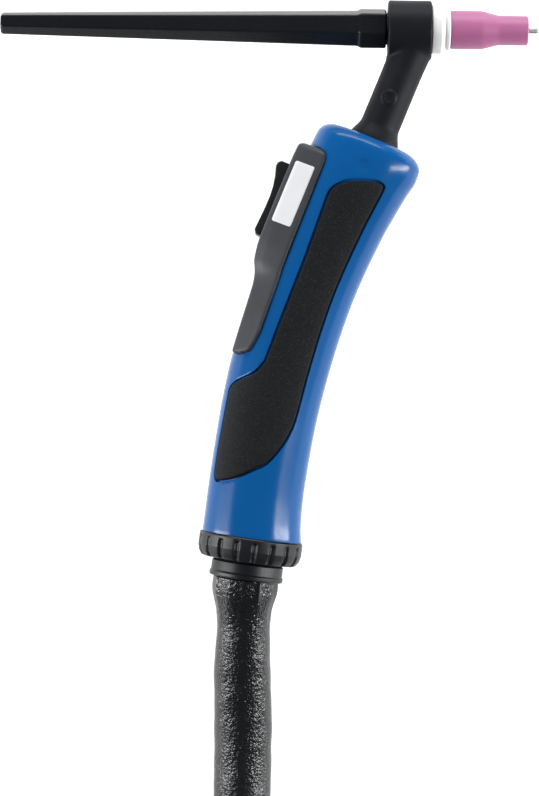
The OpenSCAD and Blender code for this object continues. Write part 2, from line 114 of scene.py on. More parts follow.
class Shade:
    """A material under construction, with a Principled shader at its end."""

    def __init__(self, name):
        self.material = bpy.data.materials.new(name)
        self.material.use_nodes = True
        self.tree = self.material.node_tree
        self.surface = self.tree.nodes["Principled BSDF"]
        self.place = self.add("ShaderNodeTexCoord", output="Object")

    def add(self, kind, settings=None, inputs=None, output=0):
        """Adds a node: its type, then its settings, then its inputs."""
        node = self.tree.nodes.new(kind)
        for key, value in (settings or {}).items():
            if key == "stops":
                while len(node.color_ramp.elements) < len(value):
                    node.color_ramp.elements.new(0.5)
                for element, (position, level) in zip(node.color_ramp.elements, value):
                    element.position = position
                    element.color = (level, level, level, 1)
            else:
                setattr(node, key, value)
        for key, value in (inputs or {}).items():
            self.feed(node.inputs[key], value)
        return Value(self, node.outputs[output])

    def feed(self, socket, value):
        """Links a Value to an input, or sets the input to a plain value."""
        if isinstance(value, Value):
            self.tree.links.new(value.socket, socket)
        else:
            socket.default_value = value

    def noise(self, scale, detail=3.0, rough=0.5, place=None):
        """A noise level."""
        inputs = {"Vector": place or self.place, "Scale": scale, "Detail": detail, "Roughness": rough}
        return self.add("ShaderNodeTexNoise", {}, inputs)

    def cells(self, scale, feature="F1", place=None):
        """The distance within Voronoi cells."""
        inputs = {"Vector": place or self.place, "Scale": scale}
        return self.add("ShaderNodeTexVoronoi", {"feature": feature}, inputs)

    def stretch(self, scale, turn=(0, 0, 0)):
        """The object's coordinates, scaled and turned, for marks that run one way."""
        inputs = {"Vector": self.place, "Scale": scale, "Rotation": turn}
        return self.add("ShaderNodeMapping", {}, inputs)

    def ramp(self, value, *stops):
        """A grey level for a value, through (position, level) stops."""
        return self.add("ShaderNodeValToRGB", {"stops": stops}, {"Fac": value})

    def blend(self, factor, a, b):
        """A mix of two colours, each a tuple or another blend."""
        inputs = {0: factor, 6: opaque(a), 7: opaque(b)}
        return self.add("ShaderNodeMix", {"data_type": "RGBA"}, inputs, output=2)

    def bump(self, height, depth_mm):
        """A normal for a height of 0 to 1, that stands for a depth in millimetres."""
        inputs = {"Height": height, "Distance": depth_mm * MM, "Strength": 1.0}
        return self.add("ShaderNodeBump", {}, inputs)

    def set(self, **sockets):
        """Feeds the Principled shader's sockets, named with underscores, and gives the material."""
        for name, value in sockets.items():
            self.feed(self.surface.inputs[name.replace("_", " ")], opaque(value))
        return self.material


def opaque(colour):
    """A colour tuple with full alpha, or anything else as it is."""
    return (*colour, 1) if isinstance(colour, tuple) and len(colour) == 3 else colour


def shell_blue():
    """Glossy moulded blue, a little scuffed."""
    m = Shade("shell_blue")
    drift = m.noise(28, 3)
    grain = m.noise(5200, 2)
    rub = m.noise(160, 5, 0.65)
    colour = m.blend(drift, (0.0020, 0.078, 0.265), (0.0030, 0.092, 0.300))
    colour = m.blend(m.ramp(rub, (0.55, 0), (0.8, 0.25)), colour, (0.008, 0.088, 0.265))
    return m.set(Base_Color=colour, Roughness=0.16 + 0.06 * rub + 0.03 * grain,
                 Normal=m.bump(grain, 0.006), Specular_IOR_Level=0.2)


def grip_rubber():
    """Black rubber with a pebbled grain, and pale specks that are partly painted glints."""
    m = Shade("grip_rubber")
    pebble = m.cells(2100)
    grit = m.noise(4200, 2)
    wear = m.noise(55, 3)
    fleck_and_glint = m.ramp(m.cells(1500, place=m.stretch((1, 1, 1), (0.3, 0.7, 0.2))), (0.10, 1), (0.22, 0))
    # Pale specks: partly the rubber's own flecks, partly painted glints of light that the grit ramp adds
    # to the colour.
    pale = fleck_and_glint * 0.6 + m.ramp(grit, (0.6, 0), (0.72, 0.5))
    colour = m.blend(pale, (0.0036, 0.0043, 0.0060), (0.085, 0.088, 0.095))
    colour = m.blend(wear * 0.3, colour, (0.016, 0.017, 0.020))
    relief = pebble * 0.6 + grit * 0.5
    return m.set(Base_Color=colour, Roughness=0.5 + 0.25 * grit, Normal=m.bump(relief, 0.24),
                 Specular_IOR_Level=0.15)


def satin_plastic(name, dark, light, rough, grain_mm=0.02):
    """Fine grained moulded plastic."""
    m = Shade(name)
    grain = m.noise(3600, 2)
    drift = m.noise(90, 4, 0.6)
    colour = m.blend(drift, dark, light)
    return m.set(Base_Color=colour, Roughness=rough + 0.12 * drift + 0.06 * grain,
                 Specular_IOR_Level=0.35, Normal=m.bump(grain, grain_mm))


def gloss_black():
    """Polished black of the back cap, with light rubs along it."""
    m = Shade("cap_gloss_black")
    haze = m.noise(40, 4, 0.6)
    rubs = m.noise(900, 3, 0.6, m.stretch((0.06, 1, 1)))
    dust = m.ramp(m.cells(900), (0.015, 1), (0.05, 0))
    colour = m.blend(haze * 0.5, (0.006, 0.0066, 0.0082), (0.013, 0.014, 0.017))
    return m.set(Base_Color=colour, Roughness=0.16 + 0.10 * haze + 0.10 * rubs + 0.2 * dust,
                 Specular_IOR_Level=0.2, Normal=m.bump(rubs, 0.006), Coat_Weight=0.02 + 0.04 * haze)


def head_rubber():
    """Matt moulded rubber of the head, with a slight bloom."""
    m = Shade("head_rubber")
    flow = m.noise(120, 5, 0.6)
    grain = m.noise(2600, 3)
    bloom = m.ramp(m.noise(46, 4, 0.7), (0.45, 0), (0.75, 1))
    colour = m.blend(bloom * 0.5, (0.0062, 0.0074, 0.0100), (0.0125, 0.0142, 0.0185))
    return m.set(Base_Color=colour, Roughness=0.44 + 0.18 * flow, Specular_IOR_Level=0.15,
                 Normal=m.bump(grain * 0.5 + flow * 0.9, 0.05))


def pink_alumina():
    """Fired alumina with a sandy grain."""
    m = Shade("pink_alumina")
    grain = m.noise(3000, 4, 0.6)
    cloud = m.noise(110, 4, 0.55)
    rings = m.noise(1400, 2, 0.5, m.stretch((1, 0.05, 0.05)))
    colour = m.blend(cloud, (0.40, 0.115, 0.26), (0.47, 0.15, 0.315))
    colour = m.blend(m.ramp(grain, (0.62, 0), (0.75, 0.35)), colour, (0.58, 0.29, 0.43))
    return m.set(Base_Color=colour, Roughness=0.36 + 0.2 * grain, Subsurface_Weight=0.08,
                 Subsurface_Scale=0.002, Normal=m.bump(grain * 0.6 + rings * 0.7, 0.02))


def white_insulator():
    """Turned white insulator."""
    m = Shade("white_insulator")
    lathe = m.noise(2600, 2, 0.5, m.stretch((1, 0.04, 0.04)))
    cloud = m.noise(160, 3)
    colour = m.blend(cloud, (0.80, 0.81, 0.82), (0.88, 0.88, 0.87))
    return m.set(Base_Color=colour, Roughness=0.34 + 0.12 * lathe, Subsurface_Weight=0.15,
                 Subsurface_Scale=0.003, Normal=m.bump(lathe, 0.012))


def metal(name, dark, light, rough, along=(1, 0.03, 0.03), lines=2200):
    """Bare metal with tool marks and some tarnish."""
    m = Shade(name)
    turned_marks = m.noise(lines, 3, 0.6, m.stretch(along))
    tarnish = m.noise(180, 5, 0.65)
    colour = m.blend(tarnish, dark, light)
    return m.set(Base_Color=colour, Metallic=1.0, Roughness=rough + 0.2 * turned_marks + 0.12 * tarnish,
                 Normal=m.bump(turned_marks, 0.008))


def hose_leather():
    """Black leather sleeve: crackled, creased and slightly shiny."""
    m = Shade("hose_leather")
    grain = m.cells(1100, "DISTANCE_TO_EDGE")
    crackle = m.noise(820, 1, 0.5)
    fine = m.noise(3400, 2, 0.6)
    crease = m.noise(150, 5, 0.65)
    soft = m.ramp(grain, (0.0, 0), (0.25, 1))
    colour = m.blend(crease, (0.0022, 0.0028, 0.0042), (0.0058, 0.0066, 0.0090))
    colour = m.blend(m.ramp(fine, (0.6, 0), (0.8, 0.4)), colour, (0.026, 0.026, 0.029))
    relief = soft * 0.15 + crackle * 1.4 + fine * 0.03 + crease * 0.8
    return m.set(Base_Color=colour, Roughness=0.17 + 0.12 * crease + 0.06 * fine,
                 Specular_IOR_Level=0.52, Normal=m.bump(relief, 0.27))


def cable_rubber():
    """Dull black cable sheath."""
    m = Shade("cable_rubber")
    grain = m.noise(2400, 3)
    scuff = m.noise(70, 5, 0.7)
    colour = m.blend(m.ramp(scuff, (0.4, 0), (0.75, 1)), (0.011, 0.011, 0.012), (0.024, 0.024, 0.026))
    return m.set(Base_Color=colour, Roughness=0.5 + 0.2 * scuff, Normal=m.bump(grain, 0.03))


def strap_webbing():
    """Woven strap."""
    m = Shade("strap_webbing")
    warp = m.add("ShaderNodeTexWave", {"bands_direction": "Z"}, {"Vector": m.place, "Scale": 420.0})
    fuzz = m.noise(1900, 4, 0.7)
    colour = m.blend(fuzz, (0.012, 0.012, 0.014), (0.045, 0.045, 0.050))
    return m.set(Base_Color=colour, Roughness=0.82 + 0.1 * fuzz,
                 Normal=m.bump(warp * 0.5 + fuzz * 0.8, 0.25))


def label_plate():
    """Pale brushed plate."""
    m = Shade("label_plate")
    brush = m.noise(1800, 2, 0.5, m.stretch((1, 0.06, 1), (0, 0, 0.38)))
    cloud = m.noise(120, 3)
    colour = m.blend(cloud, (0.66, 0.67, 0.69), (0.74, 0.745, 0.76))
    return m.set(Base_Color=colour, Roughness=0.3 + 0.12 * brush, Normal=m.bump(brush, 0.006))


BLUE = shell_blue()
GRIP = grip_rubber()
SWITCH = satin_plastic("switch_grey", (0.028, 0.030, 0.036), (0.042, 0.044, 0.052), 0.36)
ROCKER = satin_plastic("rocker_black", (0.009, 0.0095, 0.011), (0.016, 0.017, 0.019), 0.30)
NUT = satin_plastic("nut_black", (0.004, 0.005, 0.007), (0.009, 0.010, 0.013), 0.3)
LINER = satin_plastic("liner_nylon", (0.70, 0.70, 0.66), (0.78, 0.78, 0.74), 0.4)
BOARD = satin_plastic("board_green", (0.012, 0.10, 0.04), (0.02, 0.15, 0.06), 0.3)
CAP = gloss_black()
RUBBER = head_rubber()
ALUMINA = pink_alumina()
WHITE = white_insulator()
BRASS = metal("turned_brass", (0.60, 0.42, 0.17), (0.80, 0.60, 0.28), 0.22)
COPPER = metal("drawn_copper", (0.55, 0.24, 0.13), (0.80, 0.42, 0.27), 0.25)
STEEL = metal("plain_steel", (0.42, 0.43, 0.45), (0.60, 0.61, 0.63), 0.28)
TUNGSTEN = metal("ground_tungsten", (0.26, 0.27, 0.28), (0.40, 0.41, 0.42), 0.30, (0.05, 1, 1), 3000)
LEATHER = hose_leather()
SHEATH = cable_rubber()
WEBBING = strap_webbing()
LABEL = label_plate()

# ---- camera, floor and lights

VIEW_WIDTH = 0.1994
CAMERA_HIGH = 1.1
SENSOR = 36.0
CAMERA_TURN = math.radians(0.85)
VIEW_CENTRE = (-50, -137.2)
FLOOR_HALF = 6.0

camera_data = bpy.data.cameras.new("camera")
camera_data.sensor_fit = "HORIZONTAL"
camera_data.sensor_width = SENSOR
camera_data.lens = SENSOR * CAMERA_HIGH / VIEW_WIDTH
camera_data.clip_end = 50
camera = bpy.data.objects.new("camera", camera_data)
camera.location = (*torch(*VIEW_CENTRE)[:2], BARREL_AT.z + CAMERA_HIGH)
camera.rotation_euler = (0, 0, CAMERA_TURN)
bpy.context.scene.collection.objects.link(camera)
bpy.context.scene.camera = camera
bpy.context.scene.view_settings.view_transform = "Standard"


def floor():
    """A plain pale floor, bright enough to stay white without lights from below."""
    mesh = bpy.data.meshes.new("floor")
    corners = [(x * FLOOR_HALF, y * FLOOR_HALF, 0) for x, y in ((-1, -1), (1, -1), (1, 1), (-1, 1))]
    mesh.from_pydata(corners, [], [(0, 1, 2, 3)])
    m = Shade("floor_paper")
    mottle = m.noise(3, 3)
    m.set(Base_Color=m.blend(mottle, (0.93, 0.93, 0.93), (0.955, 0.955, 0.955)), Roughness=0.9,
          Specular_IOR_Level=0.1, Emission_Color=(1, 1, 1), Emission_Strength=0.62)
    mesh.materials.append(m.material)
    obj = bpy.data.objects.new("floor", mesh)
    bpy.context.scene.collection.objects.link(obj)


def softbox(name, at, size, watts, aim=(0, -0.04, 0.02)):
    """A rectangular lamp that faces the torch."""
    data = bpy.data.lights.new(name, "AREA")
    data.shape = "RECTANGLE"
    data.size, data.size_y = size
    data.energy = watts
    obj = bpy.data.objects.new(name, data)
    obj.location = at
    obj.rotation_euler = (Vector(aim) - Vector(at)).to_track_quat("-Z", "Y").to_euler()
    bpy.context.scene.collection.objects.link(obj)


floor()
softbox("left_box", (-1.25, -0.1, 0.34), (0.12, 1.5), 22)
softbox("right_box", (1.2, -0.05, 0.4), (0.12, 1.4), 22)
softbox("top_box", (0.0, 1.35, 0.5), (1.6, 0.3), 18)
world = bpy.data.worlds.new("studio")
world.use_nodes = True
world.node_tree.nodes["Background"].inputs["Color"].default_value = (1, 1, 1, 1)
world.node_tree.nodes["Background"].inputs["Strength"].default_value = 0.14
bpy.context.scene.world = world

# ---- mesh making


def piece(name, corners, faces, body, material, slot, replaced=(), sharp=40, join=0.0):
    """A finished mesh that rides on a body. Corners are row coordinates in metres."""
    mesh = bpy.data.meshes.new(name)
    mesh.from_pydata([tuple(c) for c in corners], [], [tuple(f) for f in faces])
    if join:
        work = bmesh.new()
        work.from_mesh(mesh)
        bmesh.ops.remove_doubles(work, verts=work.verts, dist=join * MM)
        bmesh.ops.recalc_face_normals(work, faces=work.faces)
        work.to_mesh(mesh)
        work.free()
    obj = bpy.data.objects.new(name, mesh)
    bpy.context.scene.collection.objects.link(obj)
    return finish_piece(obj, body, material, replaced, sharp)


def finish_piece(obj, body, material, replaced=(), sharp=40):
    """Gives an object its material, shading, body and the CAD nodes it stands for."""
    mesh = obj.data
    mesh.materials.clear()
    mesh.materials.append(material)
    mesh.polygons.foreach_set("use_smooth", [True] * len(mesh.polygons))
    mesh.set_sharp_from_angle(angle=math.radians(sharp))
    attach(obj, body)
    if replaced:
        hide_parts(*replaced)
    return obj


def ring_faces(rings, around, close_start=True, close_end=True):
    """Quads between successive rings of corners, with a cap at each end."""
    faces = []
    for i in range(rings - 1):
        for k in range(around):
            a, b = i * around + k, i * around + (k + 1) % around
            faces.append((a, b, b + around, a + around))
    if close_start:
        faces.append(tuple(reversed(range(around))))
    if close_end:
        last = (rings - 1) * around
        faces.append(tuple(range(last, last + around)))
    return faces


def fillet(points, radius, steps=5):
    """A closed or open profile with every inner corner rounded. A point may name its own radius."""
    out = [points[0][:2]]
    for before, here, after in zip(points, points[1:], points[2:]):
        p, a, b = (Vector(v[:2]) for v in (here, before, after))
        r = here[2] if len(here) > 2 else radius
        to_a, to_b = a - p, b - p
        turn = to_a.angle(to_b, math.pi)
        if r <= 0 or turn > math.radians(172):
            out.append(tuple(p))
            continue
        cut = min(r / math.tan(turn / 2), to_a.length * 0.48, to_b.length * 0.48)
        start, end = p + to_a.normalized() * cut, p + to_b.normalized() * cut
        for k in range(steps + 1):
            t = k / steps
            out.append(tuple(start * (1 - t) ** 2 + p * 2 * t * (1 - t) + end * t ** 2))
    out.append(points[-1][:2])
    return out


def rounded(profile, radius, steps=4):
    """A profile that closes on itself, with every corner rounded but the first."""
    return fillet(profile + profile[:1], radius, steps)[:-1]


def divided(line, step, across=0):
    """The line with corners added, about a step apart along the axis and, if asked, across it."""
    out = []
    for (h1, r1), (h2, r2) in zip(line, line[1:]):
        parts = max(1, int(math.hypot(h2 - h1, (r2 - r1) * across) / step))
        out += [(h1 + (h2 - h1) * k / parts, r1 + (r2 - r1) * k / parts) for k in range(parts)]
    return out + [line[-1]]


def turned(profile, centre, axis, around=96, radius=None, side=None):
    """Corners and faces of a lathe shape, closed on itself.

    The profile holds (distance along the axis, radius), and radius may change it with the angle."""
    axis = Vector(axis).normalized()
    side = Vector(side) if side else axis.orthogonal().normalized()
    up = axis.cross(side)
    corners = []
    for along, r in profile:
        for k in range(around):
            a = 2 * math.pi * k / around
            rr = radius(along, r, a) if radius else r
            p = Vector(centre) + axis * along + (side * math.cos(a) + up * math.sin(a)) * rr
            corners.append(p)
    faces = ring_faces(len(profile), around, False, False)
    last = (len(profile) - 1) * around
    for k in range(around):
        n = (k + 1) % around
        faces.append((last + k, last + n, n, k))
    return corners, faces


def torch_piece(name, shape, *args, **kw):
    """A piece whose corners are torch coordinates."""
    corners, faces = shape
    return piece(name, [torch(*c) for c in corners], faces, *args, **kw)


# ---- the handle's middle line, and tables that are followed smoothly

NECK_LEAN = math.radians(21.7)
LINE_START = np.array([-13, -41.8])
STRAIGHT = 40
SWEEP_R = 444
BALL_U = 152.5
HANDLE_LEN = 153.3
FULLNESS = 2.3
Z = Vector((0, 0, 1))


def heading(u):
    """The angle of the handle's line from -Y."""
    return NECK_LEAN - max(u - STRAIGHT, 0) / SWEEP_R


def ahead(h):
    """The direction along the line at a heading."""
    return np.array([-math.sin(h), -math.cos(h)])


def aside(h):
    """The direction to the line's right at a heading."""
    return np.array([math.cos(h), -math.sin(h)])


def place(u, n, z=0.0):
    """A point at u along the handle's line, n to its right and z above its middle plane."""
    start = LINE_START + min(u, STRAIGHT) * ahead(NECK_LEAN)
    p = start + SWEEP_R * (aside(NECK_LEAN) - aside(heading(u))) + n * aside(heading(u))
    return (float(p[0]), float(p[1]), z)


def smooth(rows):
    """A function that follows a table's rows against their first column, without overshoot."""
    table = np.array(rows, float)
    x, y = table[:, 0], table[:, 1:]
    slope = np.diff(y, axis=0) / np.diff(x)[:, None]
    before, after = slope[:-1], slope[1:]
    same = before * after > 0
    total = np.where(same, before + after, 1.0)
    tangent = np.vstack([slope[:1], np.where(same, 2 * before * after / total, 0.0), slope[-1:]])

    def at(v):
        v = min(max(v, x[0]), x[-1])
        i = min(int(np.searchsorted(x, v, "right")) - 1, len(x) - 2)
        span = x[i + 1] - x[i]
        s = (v - x[i]) / span
        return (y[i] * (1 + 2 * s) * (1 - s) ** 2 + tangent[i] * span * s * (1 - s) ** 2
                + y[i + 1] * s * s * (3 - 2 * s) + tangent[i + 1] * span * s * s * (s - 1))
    return at


def catmull(a, b, c, d, t):
    """A point of the smooth curve from b to c, at t between 0 and 1."""
    return 0.5 * (2 * b + (c - a) * t + (2 * a - 5 * b + 4 * c - d) * t * t
                  + (3 * b - a - 3 * c + d) * t ** 3)


def closed_curve(points, step=0.5):
    """A smooth closed curve through the points."""
    out = []
    count = len(points)
    for i in range(count):
        a, b, c, d = (np.array(points[(i + k) % count], float) for k in (-1, 0, 1, 2))
        pieces = max(2, int(np.linalg.norm(c - b) / step))
        out += [catmull(a, b, c, d, k / pieces) for k in range(pieces)]
    return np.array(out)


def reaches(points):
    """How far along a line each of its points is."""
    return np.concatenate([[0], np.cumsum(np.linalg.norm(np.diff(points, axis=0), axis=1))])


def points_at(points, at):
    """The points of a line at given distances along it."""
    reach = reaches(points)
    return np.stack([np.interp(at, reach, column) for column in points.T], 1)


def resample(points, step=0.5):
    """The corners of a closed polygon at even steps."""
    p = np.vstack([points, points[:1]])
    whole = reaches(p)[-1]
    return points_at(p, np.linspace(0, whole, max(12, int(whole / step)), endpoint=False))


def grow(loop, distance):
    """A closed loop moved outward, or inward for a negative distance."""
    after, behind = np.roll(loop, -1, 0), np.roll(loop, 1, 0)
    area = np.sum(loop[:, 0] * after[:, 1] - after[:, 0] * loop[:, 1])
    run = after - behind
    run /= np.linalg.norm(run, axis=1)[:, None] + 1e-12
    out = np.stack([run[:, 1], -run[:, 0]], 1) * (1 if area > 0 else -1)
    return loop + out * distance


def inside(points, loop):
    """Which of the points lie within a closed loop."""
    x, y = points[:, 0][:, None], points[:, 1][:, None]
    a, b = loop, np.roll(loop, -1, 0)
    crosses = (a[:, 1] > y) != (b[:, 1] > y)
    with np.errstate(divide="ignore", invalid="ignore"):
        at = (b[:, 0] - a[:, 0]) * (y - a[:, 1]) / (b[:, 1] - a[:, 1]) + a[:, 0]
    return (np.sum(crosses & (x < at), axis=1) % 2) == 1


def ring_loops(loop, rings):
    """The loop moved outward by each ring's distance, with the ring's depth."""
    return [(grow(loop, d) if d else loop, depth) for d, depth in rings]


def spread_points(border, loops, step):
    """Points within the border, in offset rows and clear of the loops."""
    low, high = border.min(0), border.max(0)
    xs = np.arange(low[0] + step / 2, high[0], step)
    ys = np.arange(low[1] + step / 2, high[1], step)
    grid = np.stack(np.meshgrid(xs, ys, indexing="ij"), -1).reshape(-1, 2)
    grid[:, 1] += (np.round((grid[:, 0] - low[0]) / step) % 2) * step * 0.4
    grid = grid[inside(grid, border)]
    rim = np.vstack([loop for loop, _ in loops])
    tree = kdtree.KDTree(len(rim))
    for i, p in enumerate(rim):
        tree.insert((p[0], p[1], 0), i)
    tree.balance()
    return np.array([p for p in grid if tree.find((p[0], p[1], 0))[2] > 0.5 * step])


def relief(border, edge, pockets=(), holes=(), step=0.8, level=0.0):
    """A flat triangle mesh within the border, with a depth for each corner.

    edge, and each pocket's and hole's own list, hold (distance outward, depth) pairs, a ring each.
    A pocket is (loop, rings, floor depth), and a hole is (loop, rings)."""
    loops = ring_loops(border, [(-d, depth) for d, depth in edge])
    for loop, rings, _ in pockets:
        loops += ring_loops(loop, rings)
    for loop, rings in holes:
        loops += ring_loops(loop, rings)
    grid = spread_points(border, loops, step)
    depths = np.full(len(grid), level)
    for loop, rings, floor_depth in pockets:
        depths[inside(grid, loop)] = floor_depth
    for loop, rings in holes:
        keep = ~inside(grid, loop)
        grid, depths = grid[keep], depths[keep]
    points, edges, levels = [tuple(p) for p in grid], [], list(depths)
    for loop, depth in loops:
        first = len(points)
        points += [tuple(p) for p in loop]
        levels += [depth] * len(loop)
        edges += [(first + k, first + (k + 1) % len(loop)) for k in range(len(loop))]
    made = geometry.delaunay_2d_cdt([Vector(p) for p in points], edges, [], 1, 1e-5)
    flat, faces, origin = (np.array([tuple(p) for p in made[0]]), made[2], made[3])
    levels = [levels[o[0]] if o else level for o in origin]
    middles = np.array([flat[list(f)].mean(0) for f in faces])
    for loop, rings in holes:
        gone = inside(middles, grow(loop, rings[0][0]) if rings[0][0] else loop)
        faces = [f for f, g in zip(faces, gone) if not g]
        middles = middles[~gone]
    return flat, levels, faces


def slab(flat, levels, faces, surface, thick):
    """A closed solid: the relief laid on a surface, the same again at the inset thick, and its rim."""
    count = len(flat)
    corners = [surface(x, y, d) for (x, y), d in zip(flat, levels)]
    corners += [surface(x, y, max(thick, d + 0.2)) for (x, y), d in zip(flat, levels)]
    used = {}
    for f in faces:
        for a, b in zip(f, f[1:] + f[:1]):
            used[(a, b)] = 1
    rim = [(a, b) for a, b in used if (b, a) not in used]
    solid = [tuple(f) for f in faces] + [tuple(count + k for k in reversed(f)) for f in faces]
    solid += [(b, a, count + a, count + b) for a, b in rim]
    return corners, solid


# ---- handle shells and pads

station = smooth([[0, -17, 15.5, 13.2], [1.5, -19.2, 18.2, 15.6], [4, -20.5, 20, 17],
                  [8, -20.8, 20.3, 17.6], [14, -21, 19.2, 17.8], [22, -21, 18, 17.6],
                  [32, -21, 16.8, 17.2], [45, -21, 16, 16.9], [60, -21, 15.4, 16.7],
                  [76, -21, 15.3, 16.8], [90, -21, 15.4, 17], [105, -20.4, 15.6, 17.2],
                  [120, -19.5, 16.1, 17.4], [136, -18.8, 16.7, 17.7], [147, -18.4, 17.5, 18.1],
                  [HANDLE_LEN, -18.3, 18.5, 18.4]])
PAD = [[24, -7.6], [20, -5], [17, 0], [15, 5.5], [14.8, 8.8], [16.5, 10], [25, 9.3], [38, 8.4],
       [62, 7.5], [90, 7.6], [106, 7.6], [114, 6.4], [122, 3], [127, -1], [132, -8.3],
       [134.4, -14], [134.2, -16.6], [128, -17.4], [108, -18.2], [103, -18.5], [100, -17.4],
       [95.5, -12], [91, -9.2], [86, -8.2], [64, -7], [48, -6.8], [32, -7.5]]
PAD_SINK = 1.2
PAD_PROUD = 0.3
WALL = 2.4
SWITCH_EDGE = [[10.8, -30], [10.8, -17], [12, -14.8], [15, -13.6], [48, -13.2], [80, -13.5],
               [85, -14.7], [88, -15.6], [89.6, -18.5], [89.9, -30]]
SCREWS = [[10, 13], [48, 12.2], [90, 12], [122, 12]]
SCREW_UNDER_PAD = (128, -12.5, -7.9)
SCREW_WELL = 2.4
DIMPLE = (11.2, 0, 2.4, 0.35)
PAD_THICK = 1.25
ARC = 17.5
FRONT_REACH = 9
REAR_REACH = 4
NECK_HOLE = 9.85
SPIGOT = 15.9


def handle_point(u, arc, inset, side=1):
    """A point on the handle. arc runs over one half, from the right parting line to the left one."""
    along = min(max(u, inset), HANDLE_LEN - inset)
    left, right, half = station(along)
    c, s = math.cos(arc / ARC), math.sin(arc / ARC)
    n = (left + right) / 2 + ((right - left) / 2 - inset) * math.copysign(abs(c) ** (2 / FULLNESS), c)
    z = (half - inset) * max(s, 0.0) ** (2 / FULLNESS)
    for over, reach, hole in ((-u, FRONT_REACH, NECK_HOLE), (u - HANDLE_LEN, REAR_REACH, SPIGOT)):
        if over > 0:
            t = min(over / reach, 1)
            n, z = n * (1 - t) + hole * c * t, z * (1 - t) + hole * max(s, 0) * t
    return place(along, n, side * z)


def arc_at(u, n):
    """The arc coordinate of an offset n on the handle."""
    left, right, _ = station(u)
    c = (n - (left + right) / 2) / ((right - left) / 2)
    c = min(max(c, -1), 1)
    return ARC * math.acos(math.copysign(abs(c) ** (FULLNESS / 2), c))


def on_handle(points):
    """Points (u, n) as the relief's flat coordinates (u, arc)."""
    return np.array([(u, arc_at(u, n)) for u, n in points])


def round_loop(u, n, r, step=0.45):
    """A true circle about a point of the handle's flank, in its own coordinates."""
    count = max(16, int(2 * math.pi * r / step))
    turns = [2 * math.pi * k / count for k in range(count)]
    return on_handle([(u + r * math.cos(a), n + r * math.sin(a)) for a in turns])


def shell_border():
    """One half's outline, with a notch for the switch module."""
    end, left = HANDLE_LEN + REAR_REACH, math.pi * ARC
    notch = [p for p in fillet(SWITCH_EDGE, 1.6) if p[1] > station(p[0])[0] + 0.05]
    notch = [(u, arc_at(u, n)) for u, n in reversed(notch)]
    corners = [(-FRONT_REACH, 20), (-FRONT_REACH, 0), (end, 0), (end, left),
               (notch[0][0] + 0.15, left), *notch, (notch[-1][0] - 0.15, left), (-FRONT_REACH, left),
               (-FRONT_REACH, 20)]
    return resample(np.array(fillet(corners, 0.8, 4)[:-1]), 0.5)


def handle_shell(name, side):
    """One half of the handle, with the recess of its pad and its dimple or screw wells."""
    pad = closed_curve(on_handle(PAD), 0.5)
    groove = [(0.95, 0), (0.72, 0.06), (0.6, 0.4), (0.55, 1.2), (0.45, 1.3)]
    pockets = [(grow(pad, 0.3), [(d - 0.3, depth) for d, depth in groove], PAD_SINK + 0.1)]
    if side > 0:
        bowl = [(0.35, 0), (0, 0.07), (-0.5, 0.26), (-1.0, 0.35)]
        pockets.append((round_loop(*DIMPLE), bowl, 0.36))
    else:
        well = [(0.15, 0), (0, 0.25), (-0.1, 2.0)]
        pockets += [(round_loop(u, n, SCREW_WELL), well, 2.0) for u, n in SCREWS]
    edge = [(0, 0.4), (0.12, 0.12), (0.35, 0.02), (0.7, 0)]
    shape = relief(shell_border(), edge, pockets, step=0.75)
    corners, faces = slab(*shape, lambda u, arc, d: handle_point(u, arc, d, side), WALL)
    torch_piece(name, (corners, faces), "handle", BLUE, "shell_blue", (name,), 35, join=0.001)


def grip_pad(name, side):
    """A pad that fills its recess and stands a little proud of the shell."""
    pad = closed_curve(on_handle(PAD), 0.5)
    edge = [(0, 1.1), (0.06, 0.45), (0.22, 0.02), (0.6, -0.22), (1.1, -PAD_PROUD)]
    shape = relief(pad, edge, step=0.7, level=-PAD_PROUD)
    corners, faces = slab(*shape, lambda u, arc, d: handle_point(u, arc, d, side), PAD_THICK)
    torch_piece(name, (corners, faces), "handle", GRIP, "grip_rubber", (name,), 40, join=0.001)


for side_name, side_sign in (("upper", 1), ("lower", -1)):
    handle_shell("shell_" + side_name, side_sign)
    grip_pad("grip_pad_" + side_name, side_sign)

# ---- switch module, its label plates and its rocker

SWITCH_U = (10.8, 89.9)
switch_station = smooth([[10.5, -23.5, 15.2, 8.5], [12.5, -25, 15.9, 10], [20, -25.3, 16, 10.6],
                         [48, -25.2, 15.8, 10.6], [56, -24.3, 15.7, 10.4], [61, -22.3, 15.7, 10.6],
                         [66, -21.5, 15.8, 11], [78, -21.3, 15.9, 11.4], [90.5, -21.3, 15.9, 11.4]])
FLANK = 30.0
FLANK_STEPS = 120
SLOT = (19.3, 49, 7.15)
ROCKER_HALF = 6.8
ROCKER_OUTLINE = [[20, -24.6], [20, -28.4], [21, -29.5], [22.5, -29.7], [26, -28.6], [30, -27.8],
                  [34, -27.5], [39.5, -27.6], [44, -27.9], [46.6, -28.1], [47.9, -27.2], [48.2, -24.8],
                  [46.5, -22.6], [43, -22.6], [42.2, -20], [40.8, -20], [40, -22], [28, -22],
                  [27.2, -20], [25.8, -20], [25, -22.6], [21.6, -22.6]]


def switch_section(u):
    """Half of the module's section, as even steps of (offset, height) from its flank to its nose."""
    front, edge, nose = switch_station(u)
    corners = [(-6, edge), (-14, edge, 4), (front + 3, nose + 1.8, 2.4), (front, nose - 0.4, 1.8),
               (front, 0)]
    line = np.array(fillet(corners, 1.5, 8))
    return points_at(line, np.linspace(0, reaches(line)[-1], FLANK_STEPS + 1))


SECTION_STEP = 0.5
SECTION_US = np.arange(SWITCH_U[0] - 1, SWITCH_U[1] + 1.5, SECTION_STEP)
SECTIONS = np.array([switch_section(u) for u in SECTION_US])


def section_at(u):
    """The module's section between the two nearest ones of the list."""
    at = min(max((u - SECTION_US[0]) / SECTION_STEP, 0), len(SECTION_US) - 1.001)
    i = int(at)
    return SECTIONS[i] * (1 - at + i) + SECTIONS[i + 1] * (at - i)


